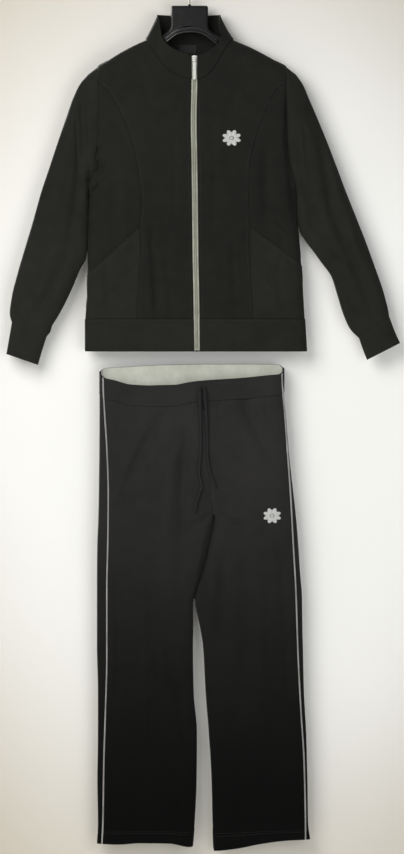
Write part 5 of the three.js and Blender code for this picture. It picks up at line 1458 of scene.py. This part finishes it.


# The trousers' colour is painted darker towards the hems, as shade.
trouser_knit = knit_finish(
    "trouser_knit", (0.0145, 0.0146, 0.0142), (0.026, 0.0261, 0.0254), painted_shade_heights=(-1.8, -0.95)
)
levels = leg_levels()
PANEL_EDGE = PIPING_WIDTH / 2 + 0.15
SIDE_CUTS = {"left": (0.055, 0.95, 0.043), "right": (0.032, 0.95, 0.0245)}
for hand in ("left", "right"):
    for side in ("front", "back"):
        face = leg_face(hand, side)
        start = leg_x(f"inner_{hand}", levels)
        gap = PANEL_EDGE if side == "front" else SEAM_GAP
        end = leg_x(hand, levels, PIPING) - OUTWARD[hand] * gap
        x = start + (end - start) * shares_across(190, 1.5, both=True)
        z = leg_height(levels, x, side)
        outer, inner = wall_points(face, x, z, ("from", "to"), CLOTH, hem_fold(levels))
        sewn_cloth(
            f"trouser_{side}_{hand}", outer, inner, trouser_knit, "black_knit", (0.235, 0.95, 0.195), ()
        )

    steps = 1 - (1 - np.linspace(0, 0.96, 12)) ** 1.9
    steps = np.insert(steps, 1, 0.03)
    edge = leg_x(hand, levels)
    walls = []
    for out in (hem_fold(levels), -CLOTH):
        parts = []
        for side, start in (
            ("front", leg_x(hand, levels, PIPING) + OUTWARD[hand] * PANEL_EDGE),
            ("back", leg_x(hand, levels, PIPING)),
        ):
            x = start + (edge - start) * steps
            z = leg_height(levels, x, side)
            sink = edge_sink(x, z, ("from",)) if np.ndim(out) else 0
            parts.append(leg_face(hand, side)(x, z, out - sink + np.zeros(x.shape)))
        middle = np.minimum(leg_height(levels, edge, "front"), leg_height(levels, edge, "back")) - 0.15
        fold = np.stack([edge + OUTWARD[hand] * out, np.zeros(edge.shape), middle], axis=-1)
        walls.append(np.concatenate([parts[0], fold, parts[1][:, ::-1]], axis=1))
    sewn_cloth(f"trouser_side_{hand}", *walls, trouser_knit, "black_knit", SIDE_CUTS[hand], ())


# The inseams' seam allowances lie across each other where the two legs touch, below the crotch.
touching = np.linspace(-1320, CROTCH + 4, 40)[:, None]
near_left, near_right = leg_x("inner_left", touching), leg_x("inner_right", touching)
x = near_left - 7 + (near_right - near_left + 14) * np.linspace(0, 1, 8)
z = np.broadcast_to(touching, x.shape)
ply = 0.3 * np.sin(z / 9)
allowance = cloth_wall(
    "inseam_allowances",
    np.stack([x, -0.5 + ply, z], axis=-1), np.stack([x, 1.0 + ply, z], axis=-1), trouser_knit,
)
join_suit(allowance)


# The piping: a thin cord covered with light grey satin, caught in the seam between each front
# and side panel. It stands a little proud all the way from the hem to the waistband.
def piping_finish():
    material, shader, place = start_finish("piping_satin", {"Sheen Weight": 0.2, "Specular IOR Level": 0.45})
    twist = (place.part("Z") * (2 * math.pi / 0.0011) + place.part("X") * 2600).sine()
    dust = place.noise(30, 4.0, 0.65)
    paint(shader, place, {
        "Base Color": (dust + twist * 0.08).ramp(0.25, 0.8).mix((0.2, 0.2, 0.19), (0.36, 0.36, 0.35)),
        "Roughness": 0.42 + dust * 0.2,
        "Normal": twist.bump(0.00012, 0.5),
    })
    return material


piping_grey = piping_finish()
PIPING_PROUD = 0.9
for hand in ("left", "right"):
    face = leg_face(hand, "front")
    around = np.linspace(0, math.pi, 11)
    x = leg_x(hand, levels, PIPING) - np.cos(around) * PIPING_WIDTH / 2
    z = leg_height(levels, x, "front")
    ripple = 0.08 * np.sin(levels * 0.9) * np.sin(around)
    outer = face(x, z, -0.5 + (PIPING_PROUD + 0.6) * np.sin(around) ** 0.7 + ripple)
    inner = face(x, z, np.full(x.shape, -CLOTH))
    sewn_cloth(
        f"piping_{hand}", outer, inner, piping_grey, "piping", (0.01, 0.95, 0.0038),
        (f"cloth_trouser_front_{hand}",),
    )


# The waistband: a doubled band of the jersey round the top, the front dipping below the back,
# with a pale grey jersey facing inside that shows above the front edge. Two sewn eyelets let the
# drawcord out.
BAND_PROUD = 0.8
FACING_WALL = 0.9
NO_CREASES = []
BAND_GATHERS = 0.35


def band_face(facing):
    """The trousers' face over both sides, smooth but for the gathers of the elastic."""
    faces = {
        hand: cloth_face(lambda x, z, hand=hand: trouser_depth(x, z, hand), facing, NO_CREASES)
        for hand in ("left", "right")
    }

    def place(x, z, out):
        left_side = x < leg_x("inner_left", z) + 0.15
        gathers = BAND_GATHERS * np.sin(x * 0.62 + 0.8 * np.sin(x * 0.11)) * np.sin(x * 0.047 + 1)
        out = out + gathers
        return np.where(left_side[..., None], faces["left"](x, z, out), faces["right"](x, z, out))

    return place


facing_knit = knit_finish("facing_knit", (0.36, 0.37, 0.315), (0.66, 0.675, 0.6), sheen=0.25, stitch=1.6)
waist_ends = (leg_x("left", WAIST_LEVEL), leg_x("right", WAIST_LEVEL))
waist_shares = shares_across(waist_ends[1] - waist_ends[0], 1.8, both=True)
for side, facing in (("front", -1), ("back", 1)):
    face = band_face(facing)
    band_in = BAND_PROUD - DOUBLE_CLOTH
    for node, shares, low, high, out, wall, finish, slot in (
        (
            "waistband", waist_shares, WAISTBAND_HEIGHT - 0.15, 0, BAND_PROUD, DOUBLE_CLOTH,
            trouser_knit, "black_knit",
        ),
        (
            "waist_facing", waist_shares[4:-4], WAISTBAND_HEIGHT - 1.5, 0.6, band_in - SEAM_GAP,
            FACING_WALL, facing_knit, "pale_facing",
        ),
    ):
        drops = np.linspace(low, high, 13)
        drops = np.unique(np.concatenate([drops, [low - EDGE, high + EDGE, high + 3]]))[::-1, None]
        across = waist_ends[0] + (waist_ends[1] - waist_ends[0]) * shares
        x = np.broadcast_to(across, (len(drops), len(shares)))
        z = table_value(WAIST, "x", side, x) - drops
        rolled = 0.55 * np.exp(-(((drops - high) / 1.2) ** 2))
        topstitched = 0.35 * np.exp(-(((drops - 34) / 1.5) ** 2)) if node == "waistband" else 0
        outer = face(x, z, out - rolled - topstitched)
        inner = face(x, z, np.full(x.shape, out - wall))
        sewn_cloth(
            f"{node}_{side}", outer, inner, finish, slot, (0.39, 0.044, 0.0168),
            (f"cloth_trouser_{side}_left",),
        )

for hand in ("left", "right"):
    face = band_face(-1)
    drops = np.linspace(WAISTBAND_HEIGHT + 1, 1.5, 12)[:, None]
    height = WAIST_LEVEL + WAISTBAND_HEIGHT - drops
    x = leg_x(hand, height, PIPING) - np.cos(around) * PIPING_WIDTH / 2
    z = table_value(WAIST, "x", "front", x) - drops
    over_band = BAND_PROUD - 0.6 + (PIPING_PROUD + 0.5) * np.sin(around) ** 0.7
    outer = face(x, z, over_band + np.zeros(x.shape))
    inner = face(x, z, np.full(x.shape, BAND_PROUD - 0.8))
    piece = cloth_wall(f"piping_over_band_{hand}", outer, inner, piping_grey)
    join_suit(piece)

EYELETS = [(21.0, -878), (30.5, -878)]
EYELET_RADIUS = 3.5
EYELET_EDGE = 0.75
front_band = band_face(-1)


def ring_surface(distance, angles):
    return np.full(len(angles), EYELET_EDGE)


def thread_finish(name, dark, light):
    material, shader, place = start_finish(name, {"Sheen Weight": 0.1, "Specular IOR Level": 0.3})
    paint(shader, place, {
        "Base Color": place.noise(300).mix(dark, light),
        "Roughness": 0.5 + place.noise(500) * 0.2,
        "Normal": place.noise(2500).bump(0.0001, 0.4),
    })
    return material


trouser_thread = thread_finish("trouser_thread", (0.003, 0.003, 0.003), (0.01, 0.01, 0.0095))
jacket_thread = thread_finish("jacket_thread", (0.009, 0.009, 0.008), (0.026, 0.026, 0.023))
for number, (eyelet_x, eyelet_z) in enumerate(EYELETS):
    turns = np.linspace(0, 2 * math.pi * 0.995, 30)
    ring_x = eyelet_x + EYELET_RADIUS * np.cos(turns)
    ring_z = eyelet_z + EYELET_RADIUS * np.sin(turns)
    ring_path = front_band(ring_x, ring_z, np.full(30, BAND_PROUD + 0.1))
    eyelet = round_rod(f"eyelet_{number + 1}", ring_path, ring_surface, 8, trouser_thread)
    join_suit(eyelet)


# The topstitching: rows of short black polyester stitches beside the seams, round the pockets
# and along the hems, sewn through the cloth and drawn a little into it.
STITCH_PITCH = 3.6
STITCH_LENGTH = 2.7
STITCH_RADIUS = 0.34


def threads(name, starts, ends, ways, radius, finish, slot):
    """Short rounded threads that arch from each start to its end, in one mesh."""
    stations = np.array([0, 0.18, 0.5, 0.82, 1])
    thick = np.array([0.35, 0.95, 1, 0.95, 0.35]) * radius
    lift = np.array([-0.5, 0.35, 0.6, 0.35, -0.5]) * radius
    corners = np.array([(1, 0), (0, 1), (-1, 0), (0, -1)])
    along = ends - starts
    side = np.cross(along, ways)
    side /= np.maximum(np.linalg.norm(side, axis=1), 1e-9)[:, None]
    centre = starts[:, None] + along[:, None] * stations[:, None] + ways[:, None] * lift[:, None]
    ring = corners[:, 0, None] * side[:, None, None] + corners[:, 1, None] * ways[:, None, None]
    points = centre[:, :, None] + ring * thick[:, None, None]
    one = []
    for ring_start in range(0, 16, 4):
        for c in range(4):
            near, far = ring_start + c, ring_start + (c + 1) % 4
            one.append((near, far, far + 4, near + 4))
    one += [(3, 2, 1, 0), (16, 17, 18, 19)]
    faces = (np.array(one)[None] + np.arange(len(starts))[:, None, None] * 20).reshape(-1, 4)
    join_suit(mesh_piece(name, points.reshape(-1, 3), faces.tolist(), finish))


def stitch_row(place_on):
    """Starts, ends and ways out of a row of stitches along a line on the cloth."""
    gone = np.concatenate([[0], np.cumsum(np.linalg.norm(np.diff(place_on, axis=0), axis=1))])
    at = np.arange(1.0, gone[-1] - STITCH_LENGTH - 1, STITCH_PITCH)
    starts, ends = (
        np.stack([np.interp(at + shift, gone, place_on[:, k]) for k in range(3)], axis=1)
        for shift in (0, STITCH_LENGTH)
    )
    return starts, ends


def sewn_rows(name, rows, finish):
    starts, ends, ways = [], [], []
    for face, x, z, out in rows:
        line = face(x, z, out)
        start, end = stitch_row(line)
        way = face(start[:, 0], start[:, 2], 1.0) - face(start[:, 0], start[:, 2], 0.0)
        starts.append(start)
        ends.append(end)
        ways.append(way)
    rows = (np.vstack(part) for part in (starts, ends, ways))
    threads(name, *rows, STITCH_RADIUS, finish, "black_knit")


def pocket_out(x, z, out):
    return jacket_front_face(x, z, out + POCKET_STEP / 2 - 0.1)


ROW_FACES = {
    "front": (jacket_front_face, 0.1),
    "pocket": (pocket_out, 0.05),
    "hem": (jacket_front_face, HEM_STEP + 0.1),
    "hem_back": (jacket_back_face, HEM_STEP + 0.1),
}
jacket_rows = [(ROW_FACES[kind][0], x, z, ROW_FACES[kind][1]) for kind, x, z in stitched_runs]
sewn_rows("jacket_topstitching", jacket_rows, jacket_thread)
trouser_rows = []
for side, facing in (("front", -1), ("back", 1)):
    face = band_face(facing)
    x = np.linspace(waist_ends[0] + 3, waist_ends[1] - 3, 260)
    trouser_rows.append((face, x, table_value(WAIST, "x", side, x) - 2.6, BAND_PROUD))
    for hand in ("left", "right"):
        leg = leg_face(hand, side)
        start, end = float(leg_x(f"inner_{hand}", HEM_LEVEL)), float(leg_x(hand, HEM_LEVEL))
        x = np.linspace(start + OUTWARD[hand] * 4, end - OUTWARD[hand] * 4, 120)
        for above in (21.5, 25.5):
            trouser_rows.append((leg, x, leg_height(HEM_LEVEL + above, x, side), -0.2))
sewn_rows("trouser_topstitching", trouser_rows, trouser_thread)


# The emblems: a plain eight-petalled rosette of light grey thread on the chest and on the thigh,
# machine embroidered in satin stitch, each petal a row of short threads laid across it.
def embroidery_finish():
    material, shader, place = start_finish(
        "embroidery_thread", {"Sheen Weight": 0.3, "Specular IOR Level": 0.5}
    )
    strand = place.noise(700, 2.0)
    paint(shader, place, {
        "Base Color": strand.mix((0.42, 0.43, 0.42), (0.68, 0.69, 0.67)),
        "Roughness": 0.38 + strand * 0.2,
        "Normal": strand.bump(0.0001, 0.35),
    })
    return material


embroidery_grey = embroidery_finish()
PETALS = 8
PETAL_START = 4.2
PETAL_HALF_WIDTH = 4.6
MIDDLE_RADIUS = 3.2
THREAD_PITCH = 0.62
THREAD_RADIUS = 0.42
ROSETTES = {
    "chest_rosette": (jacket_front_face, 87.2, -354.9, 20.0, 17.2),
    "thigh_rosette": (leg_face("right", "front"), 172.2, -1145.5, 19.0, 16.4),
}
for name, (face, centre_x, centre_z, half_width, half_height) in ROSETTES.items():
    starts, ends = [], []
    for petal in range(PETALS):
        angle = 2 * math.pi * (petal + 0.5) / PETALS
        way = np.array([math.cos(angle), math.sin(angle)])
        beside = np.array([-way[1], way[0]])
        for along in np.arange(0, 1.0001, THREAD_PITCH / (half_height - PETAL_START)):
            half = PETAL_HALF_WIDTH * math.sin(math.pi * (0.12 + 0.8 * along)) ** 0.8
            middle = way * (PETAL_START + (half_height - PETAL_START) * along)
            starts.append(middle - beside * half - way * 0.25)
            ends.append(middle + beside * half + way * 0.25)
    for row in np.arange(-3.0, 3.01, THREAD_PITCH):
        half = math.sqrt(max(MIDDLE_RADIUS**2 - row**2, 0.3))
        starts.append(np.array([-half, row]))
        ends.append(np.array([half, row]))
    scale = np.array([half_width / half_height, 1])
    spots = [np.array(side) * scale + (centre_x, centre_z) for side in (starts, ends)]
    starts, ends = (face(spot[:, 0], spot[:, 1], np.full(len(spot), 0.25)) for spot in spots)
    ways = face(spots[0][:, 0], spots[0][:, 1], 1.0) - face(spots[0][:, 0], spots[0][:, 1], 0.0)
    threads(name, starts, ends, ways, THREAD_RADIUS, embroidery_grey, "piping")
